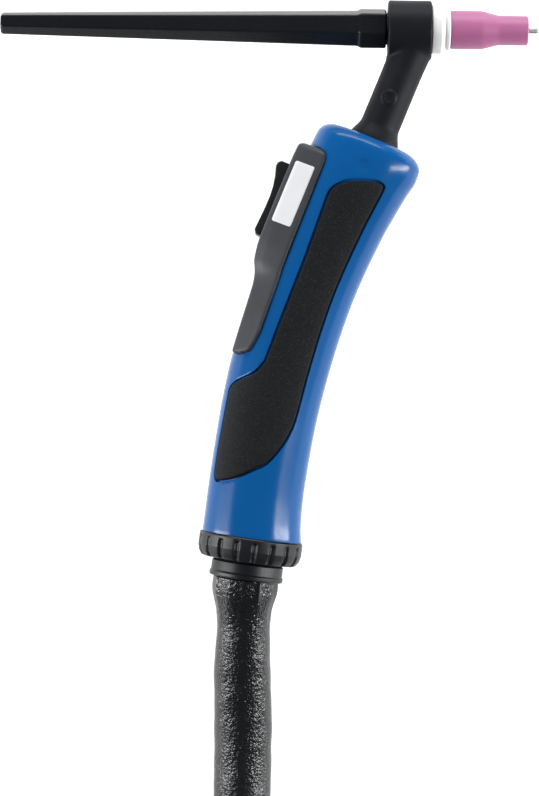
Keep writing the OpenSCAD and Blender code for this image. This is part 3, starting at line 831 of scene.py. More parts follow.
def module_point(u, t, inset):
    """A point on the module. t runs from its upper flank (0) over its nose (FLANK) to the lower one."""
    side = 1 if t <= FLANK else -1
    line = section_at(u)
    at = min(t if side > 0 else 2 * FLANK - t, FLANK) / FLANK * FLANK_STEPS
    i = min(int(at), FLANK_STEPS - 1)
    p = line[i] * (1 - at + i) + line[i + 1] * (at - i)
    run = line[min(i + 3, FLANK_STEPS)] - line[max(i - 3, 0)]
    run = run / np.linalg.norm(run)
    n, z = p[0] - run[1] * inset, max(p[1] + run[0] * inset, 0)
    return place(u, n, side * z)


def flank_at(u, n):
    """The module's t coordinate at an offset n on its upper flank."""
    line = section_at(u)
    return float(np.interp(-n, -line[:, 0], np.linspace(0, FLANK, FLANK_STEPS + 1)))


def nose_at(u, z):
    """The module's t coordinate at a height z on its nose."""
    line = section_at(u)
    t = float(np.interp(-abs(z), -line[:, 1], np.linspace(0, FLANK, FLANK_STEPS + 1)))
    return t if z > 0 else 2 * FLANK - t


def switch_module():
    """The housing, with the slot that the rocker sits in."""
    upper = [(u, flank_at(u, n)) for u, n in fillet(SWITCH_EDGE, 2.2) if n > switch_station(u)[0] + 1]
    upper = [(SWITCH_U[0], upper[0][1] + 3), *upper, (SWITCH_U[1], upper[-1][1] + 3)]
    lower = [(u, 2 * FLANK - t) for u, t in reversed(upper)]
    border = resample(np.array(fillet([upper[-1], *lower, *upper, lower[0]], 0.8, 4)[1:-1]), 0.5)
    edge = [(0, 3.4), (0.05, 2.2), (0.1, 0.9), (0.3, 0.35), (0.7, 0.08), (1.2, 0)]
    u1, u2, half = SLOT
    slot = [(u1, 0), (u1, half), (u2, half), (u2, -half), (u1, -half), (u1, 0)]
    slot = [(u, nose_at(34, z) if z else FLANK) for u, z in fillet(slot, 1.2)[:-1]]
    slot = resample(np.array(slot), 0.4)
    lip = [(0, 0.6), (0.1, 0.2), (0.35, 0.03), (0.7, 0)]
    shape = relief(border, edge, holes=[(slot, lip)], step=0.7)
    corners, faces = slab(*shape, module_point, 3.6)
    torch_piece("switch_housing", (corners, faces), "handle", SWITCH, "switch_grey",
                ("switch_housing",), 38, join=0.001)


def label_plate_on(name, side):
    """A plain plate that follows the module's flank."""
    corners = [(30, -16), (41.8, -16), (41.8, -23.4), (18.2, -23.4), (18.2, -16), (30, -16)]
    loop = [(u, flank_at(u, n)) for u, n in fillet(corners, 0.7)[:-1]]
    loop = [(u, t if side > 0 else 2 * FLANK - t) for u, t in loop]
    edge = [(0, 0.15), (0.05, -0.18), (0.2, -0.25)]
    shape = relief(resample(np.array(loop), 0.4), edge, step=0.8, level=-0.25)
    replaced = ("blank_labels",) if side > 0 else ()
    torch_piece(name, slab(*shape, module_point, 0.3), "handle", LABEL, "label_pale", replaced, 30,
                join=0.001)


def bevelled(obj, width_mm, segments=3, angle=35):
    """The object's mesh with its edges rounded, as a plain mesh."""
    modifier = obj.modifiers.new("bevel", "BEVEL")
    modifier.width = width_mm * MM
    modifier.segments = segments
    modifier.limit_method = "ANGLE"
    modifier.angle_limit = math.radians(angle)
    return baked(obj)


def baked(obj):
    """Turns the object's evaluated shape into its plain mesh."""
    bpy.context.view_layer.update()
    graph = bpy.context.evaluated_depsgraph_get()
    mesh = bpy.data.meshes.new_from_object(obj.evaluated_get(graph))
    obj.modifiers.clear()
    obj.data = mesh
    return obj


def plain(name, corners, faces):
    """An unfinished mesh object in torch coordinates."""
    mesh = bpy.data.meshes.new(name)
    mesh.from_pydata([torch(*c) for c in corners], [], [tuple(f) for f in faces])
    obj = bpy.data.objects.new(name, mesh)
    bpy.context.scene.collection.objects.link(obj)
    return obj


def rocker():
    """The rocker button, an outline with rounded edges."""
    outline = rounded(ROCKER_OUTLINE, 0.7)
    count = len(outline)
    corners = [place(u, n, z) for z in (-ROCKER_HALF, ROCKER_HALF) for u, n in outline]
    obj = bevelled(plain("rocker_button", corners, ring_faces(2, count)), 0.45, 3, 60)
    finish_piece(obj, "rocker", ROCKER, ("rocker_button",), 40)


switch_module()
label_plate_on("label_plate_upper", 1)
label_plate_on("label_plate_lower", -1)
rocker()

# ---- the swivel behind the handle

BALL = place(BALL_U, 0)
BALL_AXIS = (*ahead(heading(BALL_U)), 0)
NUT_R = 19.15
BALL_R = 12
RIBS = 18
RIB_GROOVE = 0.9
NUT_BOWL = 18.4


def ring_nut():
    """The nut, hollowed to a bowl and grooved round its outside."""
    profile = [(1, 17.9), (1, NUT_R - 0.35), (1.5, NUT_R), (5.8, NUT_R), (8, NUT_R - 0.5),
               (9.5, NUT_R - 1.5), (9.9, NUT_R - 2.4)]
    profile += [(h, math.sqrt(NUT_BOWL ** 2 - h * h)) for h in (9.9, 9.2, 8.5, 7.8, 7.1, 6.4)]
    profile += [(6.4, 14.5), (4.4, 14.5), (4.4, 17.9)]
    line = rounded(profile, 0.35)
    dense = divided(line + line[:1], 0.6, across=1)[:-1]

    def grooved(h, r, a):
        inner = math.hypot(r, h) < NUT_BOWL + 0.6 if h > 6.2 else r < 18
        if inner:
            return r
        step = 2 * math.pi / RIBS
        off = ((a + step / 2) % step - step / 2) * NUT_R
        dip = math.sqrt(max(RIB_GROOVE ** 2 - off * off, 0)) * 0.95
        edge = math.exp(-((abs(off) - 0.95) / 0.25) ** 2) * 0.12 if abs(off) > RIB_GROOVE else 0
        fade = min(max((h - 2.1) / 0.9, 0), 1)
        return r - (dip + edge) * fade * fade * (3 - 2 * fade)

    shape = turned(dense, BALL, BALL_AXIS, RIBS * 24, grooved)
    torch_piece("ring_nut", shape, "handle", NUT, "nut_black", ("ring_nut",), 35)


def swivel_ball():
    """The ball and, behind it, the cup that holds the hose."""
    arc = [(BALL_R * math.cos(math.radians(a)), BALL_R * math.sin(math.radians(a)))
           for a in range(138, 39, -5)]
    profile = [(-9, 6.5), (-9, math.sqrt(BALL_R ** 2 - 81)), *arc, (10.4, 7.6), (10.4, 12.6),
               (11, 13.2), (14.4, 13.25), (15.0, 13.65), (16.2, 13.65), (16.6, 13.2),
               (16.6, 12.2), (12.6, 12.2), (12.6, 6.5)]
    shape = turned(rounded(profile, 0.3), BALL, BALL_AXIS, 128)
    torch_piece("swivel_ball", shape, "hose", NUT, "nut_black", ("swivel_ball",), 35)


ring_nut()
swivel_ball()

# ---- head, insulator, nozzle, electrode and back cap

ELECTRODE_AXIS = (1, 0, 0)
BARREL_R = 10.5
BARREL = (-8.0, 7.6)
NECK_R = 7.3
NECK_CROSS = np.array([3.7, 0, 0])
NECK_RUN = np.array([-math.sin(NECK_LEAN), -math.cos(NECK_LEAN), 0])
NECK_SIDE = np.array([math.cos(NECK_LEAN), -math.sin(NECK_LEAN), 0])
NECK_LEN = 51
BOSS = (28.5, -1)
BOSS_R = 2.7
BOSS_TOP = 7.75
INSULATOR_LEN = 7.2
NOZZLE_LEN = 28.7
ELECTRODE_LEN = 175
ELECTRODE_OUT = 4
GAP = 0.05
CUFF = (-8.9, -18.6)
CAP_END = -151.4
CAP_TURN = math.radians(20.8)


def on_electrode(line, around, *args, **kw):
    """A lathe shape about the electrode's axis."""
    return turned(line, (0, 0, 0), ELECTRODE_AXIS, around, *args, **kw)


def soft_min(a, b, reach):
    """The smaller of two distances, blended within the reach."""
    h = np.clip(0.5 + 0.5 * (b - a) / reach, 0, 1)
    return b * (1 - h) + a * h - reach * h * (1 - h)


def soft_max(a, b, reach):
    """The larger of two distances, blended within the reach."""
    return -soft_min(-a, -b, reach)


def head_distance(p):
    """How far points are outside the moulded head: barrel, neck, its flare and its boss."""
    barrel = soft_max(np.hypot(p[:, 1], p[:, 2]) - BARREL_R, np.abs(p[:, 0] + 0.225) - 8.025, 0.9)
    along = (p - NECK_CROSS) @ NECK_RUN
    across = (p - NECK_CROSS) @ NECK_SIDE
    radius = np.hypot(across, p[:, 2])
    flare = np.clip((along - 38.2) / 7.4, 0, 1)
    root = np.clip(1 - (along - 9) / 12, 0, 1)
    girth = NECK_R + 0.35 * root ** 2 + 2.3 * flare * flare * (3 - 2 * flare)
    neck = np.maximum(radius - girth, np.maximum(-along, along - NECK_LEN))
    flat = np.maximum(p[:, 0] - BARREL[1] + 0.25, BARREL[0] + 0.25 - p[:, 0])
    neck = soft_max(neck, flat - 1.5 * np.clip(-9.5 - p[:, 1], 0, 30), 1.0)
    skirt = soft_max(radius - 11.4, np.abs(along - 49.7) - 1.3, 0.8)
    hand = soft_min(barrel, neck, 1.6)
    off = np.hypot(along - BOSS[0], across - BOSS[1])
    boss = soft_max(off - BOSS_R, np.abs(p[:, 2]) - BOSS_TOP, 0.5)
    boss = np.where(p[:, 2] > 0, boss, 9.0)
    dish = 0.35 * np.exp(-(off / 1.7) ** 6) * (p[:, 2] > 0)
    return soft_min(soft_min(hand, skirt, 0.8), boss, 0.5) + dish


def rough_head():
    """The head as a rough union of cylinders in even voxels."""
    first, last = BARREL
    drum = [(first, 0.01), (first, 10.4), (last, 10.4), (last, 0.01)]
    barrel = plain("head_cover", *on_electrode(drum, 48))
    stem = [(0, 0.01), (0, 7.2), (43, 7.2), (43, 9.3), (48, 9.3), (48.6, 11.2), (NECK_LEN, 11.2),
            (NECK_LEN, 0.01)]
    neck = plain("neck", *turned(stem, tuple(NECK_CROSS), tuple(NECK_RUN), 48))
    boss_at = NECK_CROSS + NECK_RUN * BOSS[0] + NECK_SIDE * BOSS[1]
    knob = [(0, 0.01), (0, 2.6), (7.7, 2.6), (7.7, 0.01)]
    boss = plain("boss", *turned(knob, tuple(boss_at), (0, 0, 1), 32))
    work = bmesh.new()
    for obj in (barrel, neck, boss):
        work.from_mesh(obj.data)
    bmesh.ops.recalc_face_normals(work, faces=work.faces)
    work.to_mesh(barrel.data)
    work.free()
    for obj in (neck, boss):
        bpy.data.objects.remove(obj)
    remesh = barrel.modifiers.new("remesh", "REMESH")
    remesh.mode = "VOXEL"
    remesh.voxel_size = 0.42 * MM
    return baked(barrel)


def drawn_onto(mesh, distance, rounds=8, probe=0.02):
    """Moves a mesh's corners onto the surface where a distance is zero."""
    flat = np.empty(len(mesh.vertices) * 3)
    mesh.vertices.foreach_get("co", flat)
    points = (flat.reshape(-1, 3) - np.array(BARREL_AT)) / MM
    for _ in range(rounds):
        level = distance(points)
        slope = np.stack([(distance(points + e) - level) / probe for e in np.eye(3) * probe], 1)
        size = np.sum(slope * slope, 1)[:, None] + 1e-6
        points -= np.clip(level[:, None] * slope / size, -0.5, 0.5)
    mesh.vertices.foreach_set("co", ((points * MM) + np.array(BARREL_AT)).ravel())


def head_cover():
    """The moulded cover of barrel and neck, bored through for the cap and the head's front."""
    cover = rough_head()
    drawn_onto(cover.data, head_distance)
    first = BARREL[0]
    bore = plain("bore", *on_electrode([(-12, 0.01), (-12, 6), (first, 6), (first, 8.03), (12, 8.03),
                                        (12, 0.01)], 96))
    cut = cover.modifiers.new("bore", "BOOLEAN")
    cut.operation = "DIFFERENCE"
    cut.solver = "EXACT"
    cut.object = bore
    baked(cover)
    bpy.data.objects.remove(bore)
    finish_piece(cover, "handle", RUBBER, ("head_cover",), 50)


def heat_insulator():
    """The insulator: a broad ring, then a thin rim against the nozzle."""
    first = BARREL[1]
    back, front = first + 0.25, first + INSULATOR_LEN - GAP
    profile = [(back, 4.5), (back, 8.6), (first + 0.6, 9), (first + 3.7, 9), (first + 5.1, 8.2),
               (first + 5.1, 7.0), (first + 5.7, 7.0), (first + 5.8, 7.75), (first + 6.7, 7.75),
               (front, 7.3), (front, 4.5)]
    shape = on_electrode(rounded(profile, 0.25), 128)
    torch_piece("heat_insulator", shape, "insulator", WHITE, "insulator", ("heat_insulator",), 40)


def ceramic_nozzle():
    """The gas nozzle, necked down by a long soft shoulder."""
    back = BARREL[1] + INSULATOR_LEN + GAP
    shoulder, front = back + 13.2, back + NOZZLE_LEN - GAP
    profile = [(back, 4.6), (back, 6.85), (back + 0.3, 7.1), (shoulder - 1.6, 7.1, 9),
               (shoulder + 4.6, 5.45, 9), (front - 0.4, 5.45), (front, 5.1), (front, 4.3),
               (front - 0.5, 3.95), (back + 12.2, 3.95), (back + 12.2, 4.6)]
    shape = on_electrode(rounded(profile, 0.3), 128)
    torch_piece("ceramic_nozzle", shape, "nozzle", ALUMINA, "alumina", ("ceramic_nozzle",), 40)


def electrode():
    """The tungsten rod, with its tip cut blunt."""
    tip = BARREL[1] + INSULATOR_LEN + NOZZLE_LEN + ELECTRODE_OUT
    back = tip - ELECTRODE_LEN
    profile = [(back, 0.02), (back, 0.9), (back + 0.1, 1), (tip - 0.9, 1), (tip - 0.1, 0.62),
               (tip, 0.5), (tip, 0.02)]
    torch_piece("tungsten_electrode", on_electrode(profile, 40), "electrode", TUNGSTEN, "tungsten",
                ("tungsten_electrode",), 30)


def back_cap():
    """A six sided cap: short cuff, then a long taper, round where its facets meet."""
    mouth, step = CUFF
    outer = [(CAP_END, 0.02), (CAP_END, 3.5), (CAP_END + 0.8, 4.15), (step - 1.6, 6.75),
             (step - 0.7, 6.9), (step, 7.35), (step + 0.7, 7.5), (mouth - 0.6, 7.5), (mouth, 7.0)]
    inner = [(mouth, 4.3), (mouth - 6.1, 4.3), (mouth - 6.1, 2.0), (mouth - 137, 2.0),
             (mouth - 137, 0.02)]
    line = divided(fillet(outer + inner, 0.3, 4), 6)

    def facets(x, r, a):
        if r < 3 or (r < 4.35 and x > step):
            return r
        wave = [max(math.cos(a - CAP_TURN - math.radians(30 + 60 * k)), 0) ** 34 for k in range(6)]
        return r * math.cos(math.radians(30)) / sum(wave) ** (1 / 34) * 1.012

    shape = on_electrode(line, 144, facets, side=(0, 0, 1))
    torch_piece("back_cap", shape, "cap", CAP, "cap_black", ("back_cap",), 50, join=0.001)


head_cover()
heat_insulator()
ceramic_nozzle()
electrode()
back_cap()

# ---- hose, coil, tails and plugs

COIL_AT = np.array([4, -371])
HOSE_R = 10.65
COIL_R = 117
COIL_IN = COIL_R - 2 * HOSE_R
COIL_TOP = 6 * HOSE_R
TAIL_R = 6.2
CONTROL_R = 2.8
HOSE_START_Y = -106.2
COIL_FROM = 118
COIL_SWEEP = 1777
SLEEVE_END = 95
HOSE_ROUTE = [[-5.3, -103, 19.1], [-6, -110, 18.8], [-6.4, -121, 17.6], [-6.5, -135, 15.5],
              [-6.4, -150, 13.2], [-6, -166, 11.4], [-6, -182, 10.7], [-6.3, -198, 10.65],
              [-9, -215, 10.65], [-15, -231, 10.65], [-24, -246, 10.65], [-36, -258, 10.65]]
TAIL_ROUTE = [[-48.5, -293, 54.2], [-62, -302, 55], [-75, -314, 58], [-85, -329, 63],
              [-91, -347, 68], [-95, -366, 70.4], [-94, -388, 70.4], [-87, -409, 70.4],
              [-74, -428, 70.4], [-56, -444, 70.4], [-34, -456, 70.6], [-10, -461, 71.5],
              [14, -460, 74.5], [34, -453, 77.8], [49, -444, 79.5], [58, -437, 80]]
CONTROL_ROUTE = [[-54.5, -285, 56.2], [-68, -293, 60], [-83, -306.5, 64], [-95, -324, 66.9],
                 [-103, -343, 67.2], [-107.5, -363, 67.2], [-108, -386, 67.2],
                 [-102, -411, 67.2], [-90, -433, 67.2], [-73, -451, 67.2], [-52, -464, 67.8],
                 [-34, -472, 70], [-18, -476, 72], [-6, -477, 72]]
STRAP_THICK = 1.2
STRAP_WIDE = 20
STRAPS = [(15, False), (75, False), (225, True)]
PLUG_TURN = math.radians(38)
CONTROL_TURN = math.radians(4)
PLUG_PINS = 5


def ease(v, start, end):
    """A smooth rise from 0 to 1 between start and end."""
    s = min(max((v - start) / (end - start), 0), 1)
    return s * s * (3 - 2 * s)


def coil_point(swept):
    """The hose's middle at an angle past the coil's entry, in degrees; it fills three layers."""
    inward = ease(swept, 300, 360) - ease(swept, 900, 960) + ease(swept, 1500, 1560)
    layer = ease(swept, 600, 660) + ease(swept, 1200, 1260)
    a = math.radians(COIL_FROM + swept)
    r = COIL_R + (COIL_IN - COIL_R) * inward
    return np.array([COIL_AT[0] + r * math.cos(a), COIL_AT[1] + r * math.sin(a),
                     HOSE_R + 2 * HOSE_R * layer])


def spline(route, step):
    """Points along a smooth curve through a route, at about even steps."""
    p = np.array(route, float)
    count = max(4, int(reaches(p)[-1] / step))
    dense = []
    for v in np.linspace(0, len(p) - 1, count * 4):
        i = min(int(v), len(p) - 2)
        dense.append(catmull(p[max(i - 1, 0)], p[i], p[i + 1], p[min(i + 2, len(p) - 1)], v - i))
    dense = np.array(dense)
    return points_at(dense, np.linspace(0, reaches(dense)[-1], count))


def tube(path, radius, around):
    """Corners and faces round a path. radius takes the distance along it and the angle round it."""
    path = np.asarray(path, float)
    run = np.gradient(path, axis=0)
    run /= np.linalg.norm(run, axis=1)[:, None]
    side = np.cross(run[0], (0, 0, 1))
    side /= np.linalg.norm(side)
    corners = []
    for p, d, s in zip(path, run, reaches(path)):
        side = side - d * (side @ d)
        side /= np.linalg.norm(side)
        up = np.cross(side, d)
        for k in range(around):
            a = 2 * math.pi * k / around
            corners.append(p + radius(s, a) * (math.cos(a) * side + math.sin(a) * up))
    return corners, ring_faces(len(path), around)


def row(points):
    """Points in millimetres as points in metres."""
    return [(p[0] * MM, p[1] * MM, p[2] * MM) for p in points]


def row_piece(name, shape, *args, **kw):
    """A piece whose corners are row coordinates in millimetres."""
    corners, faces = shape
    return piece(name, row(corners), faces, *args, **kw)


hose_girth = smooth([[0, 11.95], [4, 11.9], [8, 11.2], [12, 10.25], [18, 9.8], [24, 10.05], [33, 10.5],
                     [48, 10.7], [80, 10.65], [4000, 10.65]])


def hose_radius(s, a):
    """Leather sleeve: gathered in pleats at the swivel, and loosely rumpled further on."""
    pleats = math.exp(-(s / 13) ** 2) * (0.32 * math.sin(13 * a + 0.8 * math.sin(3 * a))
                                         + 0.18 * math.sin(22 * a + 1))
    rumple = (math.sin(0.19 * s + 2.2 * math.sin(a + 0.03 * s)) * math.sin(0.043 * s + 2 * a)
              + 0.7 * math.sin(0.47 * s + 3 * a) * math.sin(0.11 * s - a + 1))
    return float(hose_girth(s)[0]) + pleats + 0.16 * rumple


def coiled_hose():
    """The hose's piece, path and length, from inside the swivel's cup to the end of the coil."""
    lead = spline(HOSE_ROUTE + [list(coil_point(0)), list(coil_point(6))], 1.3)[:-4]
    path = np.vstack([lead, [coil_point(v) for v in np.linspace(5, COIL_SWEEP, 1180)]])
    path = path[path[:, 1] < HOSE_START_Y]
    shape = tube(path, hose_radius, 34)
    obj = row_piece("leather_hose", shape, "hose", LEATHER, "hose_leather", ("hose_lead", "hose_coil"))
    return obj, path, float(reaches(path)[-1]) * MM


def level_axis(turn):
    """The level direction at an angle from X."""
    return (math.cos(turn), math.sin(turn), 0)


def boot():
    """The sleeve's end, where the power cable and the control lead part."""
    a = math.radians(SLEEVE_END)
    middle = (COIL_AT[0] + COIL_IN * math.cos(a), COIL_AT[1] + COIL_IN * math.sin(a), 4 * HOSE_R + 11.6)
    axis = level_axis(math.radians(SLEEVE_END + 90 + 14))
    profile = [(0, 0.02), (0, 11.1), (0.8, 11.5), (4, 11.5), (4.6, 11.2), (5.4, 11.2), (6, 11.5),
               (22, 11.4), (46, 9.6), (48, 8.6), (48, 0.02)]
    for k in range(5):
        at = 26 + 4 * k
        profile[8 + 4 * k:8 + 4 * k] = [(at, 11.3 - 0.3 * k), (at + 0.5, 10.6 - 0.3 * k),
                                        (at + 1.5, 10.55 - 0.3 * k), (at + 2, 11.15 - 0.3 * k)]
    return row_piece("splitter_boot", turned(fillet(profile, 0.4, 4), middle, axis, 64), "hose", SHEATH,
                     "cable_rubber", ("splitter_boot",), 35)


def tail(name, route, r):
    """A round cable's piece, path and length."""
    path = spline(route, 1.6)
    obj = row_piece(name, tube(path, lambda s, a: r, 20), "hose", SHEATH, "cable_rubber", (name,))
    return obj, path, float(reaches(path)[-1]) * MM


def power_grip():
    """The power plug's rubber grip, with finger flutes and a ribbed strain relief."""
    outer = [(-22, 6.4), (-22, 7.6), (-21.2, 8.1)]
    for k in range(5):
        x = -19 + 4 * k
        r = 7.5 + 0.2 * k
        outer += [(x, r + 0.7), (x + 0.4, r), (x + 1.2, r), (x + 1.6, r + 0.8)]
    outer += [(0, 9.5), (10, 15.3, 3), (48.8, 15.5), (50, 14.5), (50, 12.2), (49.6, 12), (36, 12),
              (36, 6.1), (-1, 6.1), (-1, 6.4)]
    line = rounded(outer, 0.35)

    def fluted(h, r, a):
        if r < 12.5 or h < 12:
            return r
        fade = ease(h, 12, 18) * (1 - ease(h, 42, 47))
        return r - 0.9 * fade * max(math.cos(a * 8), 0) ** 2

    dense = divided(line + line[:1], 1.2)[:-1]
    shape = turned(dense, TAIL_ROUTE[-1], level_axis(PLUG_TURN), 128, fluted)
    return row_piece("power_plug_grip", shape, "hose", ROCKER, "rocker_black", ("power_plug_grip",), 35)


def power_pin():
    """The power plug's brass pin, with its bayonet lug."""
    at, axis = Vector(TAIL_ROUTE[-1]), Vector(level_axis(PLUG_TURN))
    pin = [(0.5, 2), (0.5, 6), (36, 6), (36, 6.6), (36.2, 6.7), (41, 6.7), (41, 6.2), (41.5, 6.2),
           (41.5, 6.5), (65.2, 6.5), (66, 5.7), (66, 2.4), (65.6, 2)]
    corners, faces = turned(rounded(pin, 0.12, 3), at, axis, 96)
    first = len(corners)
    for h in (36.7, 40.8):
        for w, drop in ((-1.6, 5.8), (1.6, 5.8), (1.6, 7.7), (1.1, 8.1), (-1.1, 8.1), (-1.6, 7.7)):
            corners.append(at + axis * h + Z.cross(axis) * w - Z * drop)
    faces += [tuple(first + i for i in f) for f in ring_faces(2, 6)]
    return row_piece("power_plug_pin", (corners, faces), "hose", BRASS, "brass", ("power_plug_pin",), 30)


def control_plug():
    """The control lead's plug, with a knurled sleeve and an open mouth."""
    profile = [(0, 2.9), (0, 4), (9.4, 7.8, 2), (12, 8), (12.6, 7.7), (13.4, 7.7), (14, 8), (33.4, 8),
               (34, 7.5), (34, 6.8), (33.8, 6.6), (24, 6.6), (24, 0.02)]
    line = fillet(profile, 0.25, 4) + [(2, 0.02), (2, 2.9)]

    def knurled(h, r, a):
        return r - 0.18 * (math.cos(a * 30) > 0) if r > 7.85 and 15 < h < 31 else r

    dense = divided(line + line[:1], 1.5)[:-1]
    shape = turned(dense, CONTROL_ROUTE[-1], level_axis(CONTROL_TURN), 120, knurled)
    return row_piece("control_plug_body", shape, "hose", ROCKER, "rocker_black",
                     ("control_plug_body",), 35, join=0.001)


def strap_line(low, wide, high, tails):
    """A strap's middle line in its own plane, closed round the coil and the tails it ties."""
    top = [(wide / 2, high), (-wide / 2, high)]
    if tails:
        top = [(wide / 2, high), (9.5, high + 7.2), (-7, high + 13), (-15.5, high + 13),
               (-wide / 2, high + 3)]
    corners = [(-wide / 2 + 20, low), (wide / 2, low), *top, (-wide / 2, low), (-wide / 2 + 20, low)]
    return resample(np.array(fillet(corners, 5, 8)[:-1]), 1.2)


def coil_axes(turn):
    """The level directions out from the coil and along it, at a strap's angle in degrees."""
    a = math.radians(turn)
    return np.array([math.cos(a), math.sin(a)]), np.array([-math.sin(a), math.cos(a)])


def strap(name, turn, tails):
    """Webbing round the coil with a sewn overlap on its outer side."""
    thick, half = STRAP_THICK, STRAP_WIDE / 2
    wide = COIL_R - COIL_IN + 2 * HOSE_R + thick
    line = strap_line(thick / 2, wide, COIL_TOP + thick / 2, tails)
    out, along = coil_axes(turn)
    middle = (COIL_R + COIL_IN) / 2
    rings = []
    for inner, outer in zip(grow(line, -thick / 2 + 0.02), grow(line, thick / 2 - 0.02)):
        section = [(inner, -half + 0.4), (inner, half - 0.4), ((inner + outer) / 2, half),
                   (outer, half - 0.4), (outer, -half + 0.4), ((inner + outer) / 2, -half)]
        for p, v in section:
            flat = COIL_AT + out * (middle + p[0]) + along * v
            rings.append((flat[0], flat[1], max(p[1], 0.02)))
    count = len(line)
    faces = ring_faces(count, 6, False, False)
    last = (count - 1) * 6
    faces += [(last + k, last + (k + 1) % 6, (k + 1) % 6, k) for k in range(6)]
    return row_piece(name, (rings, faces), "hose", WEBBING, "strap_fabric", (), 60)


hose, hose_path, hose_length = coiled_hose()
hose_boot = boot()
power_cable, power_path, power_length = tail("power_tail", TAIL_ROUTE, TAIL_R)
control_lead, control_path, control_length = tail("control_tail", CONTROL_ROUTE, CONTROL_R)
plug_pieces = [power_grip(), power_pin()]
control_body = control_plug()
strap_pieces = [strap(f"coil_strap_{i}", turn, tails) for i, (turn, tails) in enumerate(STRAPS)]
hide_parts("coil_straps")

# ---- what repeats, placed by Geometry Nodes


class Graph:
    """A Geometry Nodes tree, with one method that adds any node."""

    def __init__(self, name):
        self.tree = bpy.data.node_groups.new(name, "GeometryNodeTree")
        self.ids = {}
        self.socket("Geometry", "NodeSocketGeometry")
        self.tree.interface.new_socket("Geometry", in_out="OUTPUT", socket_type="NodeSocketGeometry")
        self.start = self.tree.nodes.new("NodeGroupInput")
        self.end = self.tree.nodes.new("NodeGroupOutput")

    def socket(self, name, kind):
        """Adds a named input and keeps its identifier."""
        item = self.tree.interface.new_socket(name, in_out="INPUT", socket_type=kind)
        self.ids[name] = item.identifier

    def add(self, kind, settings=None, inputs=None):
        """Adds a node: its type, then its settings, then its inputs."""
        node = self.tree.nodes.new(kind)
        for key, value in (settings or {}).items():
            setattr(node, key, value)
        for key, value in (inputs or {}).items():
            if isinstance(value, bpy.types.NodeSocket):
                self.tree.links.new(value, node.inputs[key])
            else:
                node.inputs[key].default_value = value
        return node


def repeater():
    """One part at every point of a mesh, turned to one direction and spun at random about it."""
    g = Graph("repeated_part")
    for name, kind in (("Part", "NodeSocketObject"), ("Turn", "NodeSocketRotation"),
                       ("Spin", "NodeSocketFloat"), ("Seed", "NodeSocketInt"),
                       ("Finish", "NodeSocketMaterial")):
        g.socket(name, kind)
    into = g.start.outputs
    part = g.add("GeometryNodeObjectInfo", inputs={"Object": into["Part"]})
    spin = g.add("FunctionNodeRandomValue", {"data_type": "FLOAT"}, {"Min": 0.0, "Seed": into["Seed"]})
    g.tree.links.new(into["Spin"], next(s for s in spin.inputs if s.name == "Max" and s.enabled))
    amount = next(s for s in spin.outputs if s.enabled)
    about = g.add("FunctionNodeAxisAngleToRotation", inputs={"Axis": (0, 0, 1), "Angle": amount})
    turn = g.add("FunctionNodeRotateRotation", {"rotation_space": "LOCAL"},
                 {"Rotation": into["Turn"], "Rotate By": about.outputs[0]})
    placed = g.add("GeometryNodeInstanceOnPoints", inputs={
        "Points": into["Geometry"], "Instance": part.outputs["Geometry"], "Rotation": turn.outputs[0]})
    real = g.add("GeometryNodeRealizeInstances", inputs={0: placed.outputs[0]})
    finish = g.add("GeometryNodeSetMaterial", inputs={0: real.outputs[0], "Material": into["Finish"]})
    g.tree.links.new(finish.outputs[0], g.end.inputs[0])
    return g


REPEATER = repeater()


def repeated(name, shape, points, turn, body, material, replaced=(), spin=0.0, seed=7, sharp=35):
    """A part, modelled in millimetres about its own origin, at points of the row frame in metres."""
    corners, faces = shape
    mesh = bpy.data.meshes.new(name + "_part")
    mesh.from_pydata([tuple(v * MM for v in c) for c in corners], [], [tuple(f) for f in faces])
    part = bpy.data.objects.new(name + "_part", mesh)
    dots = bpy.data.meshes.new(name)
    dots.from_pydata([tuple(p) for p in points], [], [])
    obj = bpy.data.objects.new(name, dots)
    for each in (part, obj):
        bpy.context.scene.collection.objects.link(each)
    modifier = obj.modifiers.new("repeat", "NODES")
    modifier.node_group = REPEATER.tree
    values = {"Part": part, "Turn": tuple(turn), "Spin": spin, "Seed": seed, "Finish": material}
    for key, value in values.items():
        modifier[REPEATER.ids[key]] = value
    baked(obj)
    bpy.data.objects.remove(part)
    return finish_piece(obj, body, material, replaced, sharp)


def domed_pin(r, length):
    """A pin along Z with a rounded tip and a chamfered root."""
    tip = [(length - r + r * math.sin(a), r * math.cos(a)) for a in np.linspace(0, 1.5, 6)]
    profile = [(0, 0.01), (0, r - 0.1), (0.1, r), *tip, (length, 0.01)]
    return turned(profile, (0, 0, 0), (0, 0, 1), 24)


def screw_head():
    """A cap screw's head with a hexagon socket, facing +Z."""
    profile = [(-16, 0.01), (-16, 1.4), (-0.1, 1.4), (0, 2.3), (2.0, 2.35), (2.35, 2.0), (2.35, 1.45),
               (1.0, 1.35), (0.9, 0.01)]

    def hexagon(h, r, a):
        if 1.3 < r < 1.46 and h > 0.5:
            k = (a + math.pi / 6) % (math.pi / 3) - math.pi / 6
            return r * math.cos(math.pi / 6) / math.cos(k) * 1.02
        return r

    return turned(fillet(profile, 0.1, 3), (0, 0, 0), (0, 0, 1), 36, hexagon)


def stitch():
    """One stitch of thread along Z, sunk at both ends."""
    thread = [(math.sin(a), 0.26 * math.cos(a) + 0.02) for a in np.linspace(-1.5, 1.5, 9)]
    return turned([(-1, 0.01), *thread, (1, 0.01)], (0, 0, 0), (0, 0, 1), 10)


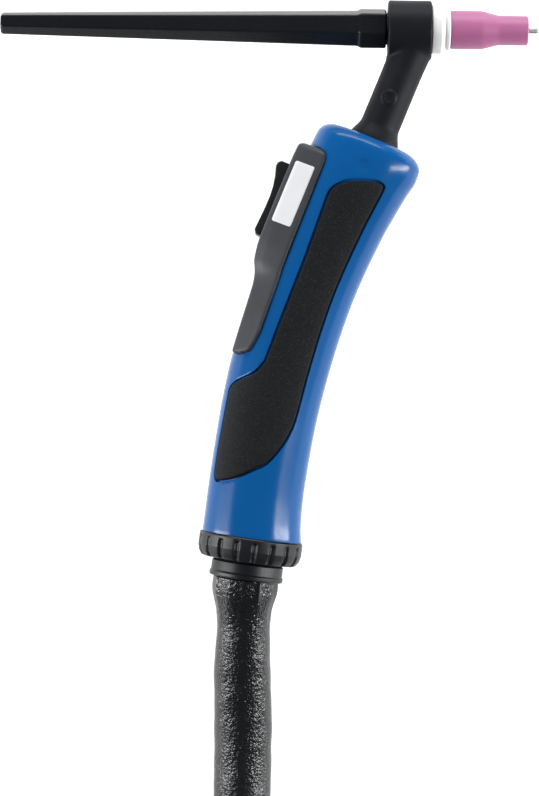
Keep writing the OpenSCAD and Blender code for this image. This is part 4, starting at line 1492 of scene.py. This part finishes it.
def strap_stitches(name, turn):
    """Two rows of stitches down a strap's outer side."""
    out, along = coil_axes(turn)
    reach = COIL_R + HOSE_R + 1.85
    points = []
    for v in (-7.5, 7.5):
        for z in np.arange(14, 50, 2.8):
            flat = (COIL_AT + out * reach + along * v) * MM
            points.append((flat[0], flat[1], z * MM))
    return repeated(name, stitch(), points, (0, 0, 0), "hose", LABEL, spin=0.5)


def plug_pins():
    """Five pins in a circle inside the control plug."""
    axis = Vector(level_axis(CONTROL_TURN))
    across = Vector((-axis.y, axis.x, 0))
    middle = Vector(CONTROL_ROUTE[-1]) + axis * 20
    points = []
    for k in range(PLUG_PINS):
        a = 2 * math.pi * k / PLUG_PINS
        points.append((middle + (across * math.cos(a) + Z * math.sin(a)) * 3.6) * MM)
    return repeated("control_plug_pins", domed_pin(0.8, 13), points,
                    axis.to_track_quat("Z", "Y").to_euler(), "hose", BRASS,
                    ("control_plug_pins",))


screw_points = [torch(*place(u, n, -11.6 if n < 12.5 else -10.4)) for u, n in SCREWS]
screw_points.append(torch(*place(*SCREW_UNDER_PAD)))
repeated("shell_screws", screw_head(), screw_points, (math.pi, 0, 0), "handle", STEEL,
         ("shell_screws",), spin=6.0)
pins = plug_pins()
for i, (turn, tails) in enumerate(STRAPS):
    strap_stitches(f"strap_seam_{i}", turn)

# ---- the cords' start points and paths, worked out and not kept

tuple(v * MM for v in hose_path[0])
row(hose_path[::2])
tuple(v * MM for v in power_path[0])
row(power_path)
tuple(v * MM for v in control_path[0])
row(control_path)

# ---- CAD nodes that are shown as they are


def dress(material, *names):
    """Gives CAD nodes a full material in place of their plain colour."""
    for name in names:
        data = frame["nodes"][name].data
        data.materials.clear()
        data.materials.append(material)


dress(BRASS, "head_core", "back_cap_insert", "cable_coupling")
dress(COPPER, "neck_tube", "collet_body", "collet")
dress(STEEL, "rocker_pin", "rocker_springs", "hose_clamp")
dress(ROCKER, "micro_switches")
dress(BOARD, "switch_board")
dress(SHEATH, "handle_cable", "back_cap_o_ring")
dress(LINER, "swivel_liner")
dress(NUT, "swivel_race")
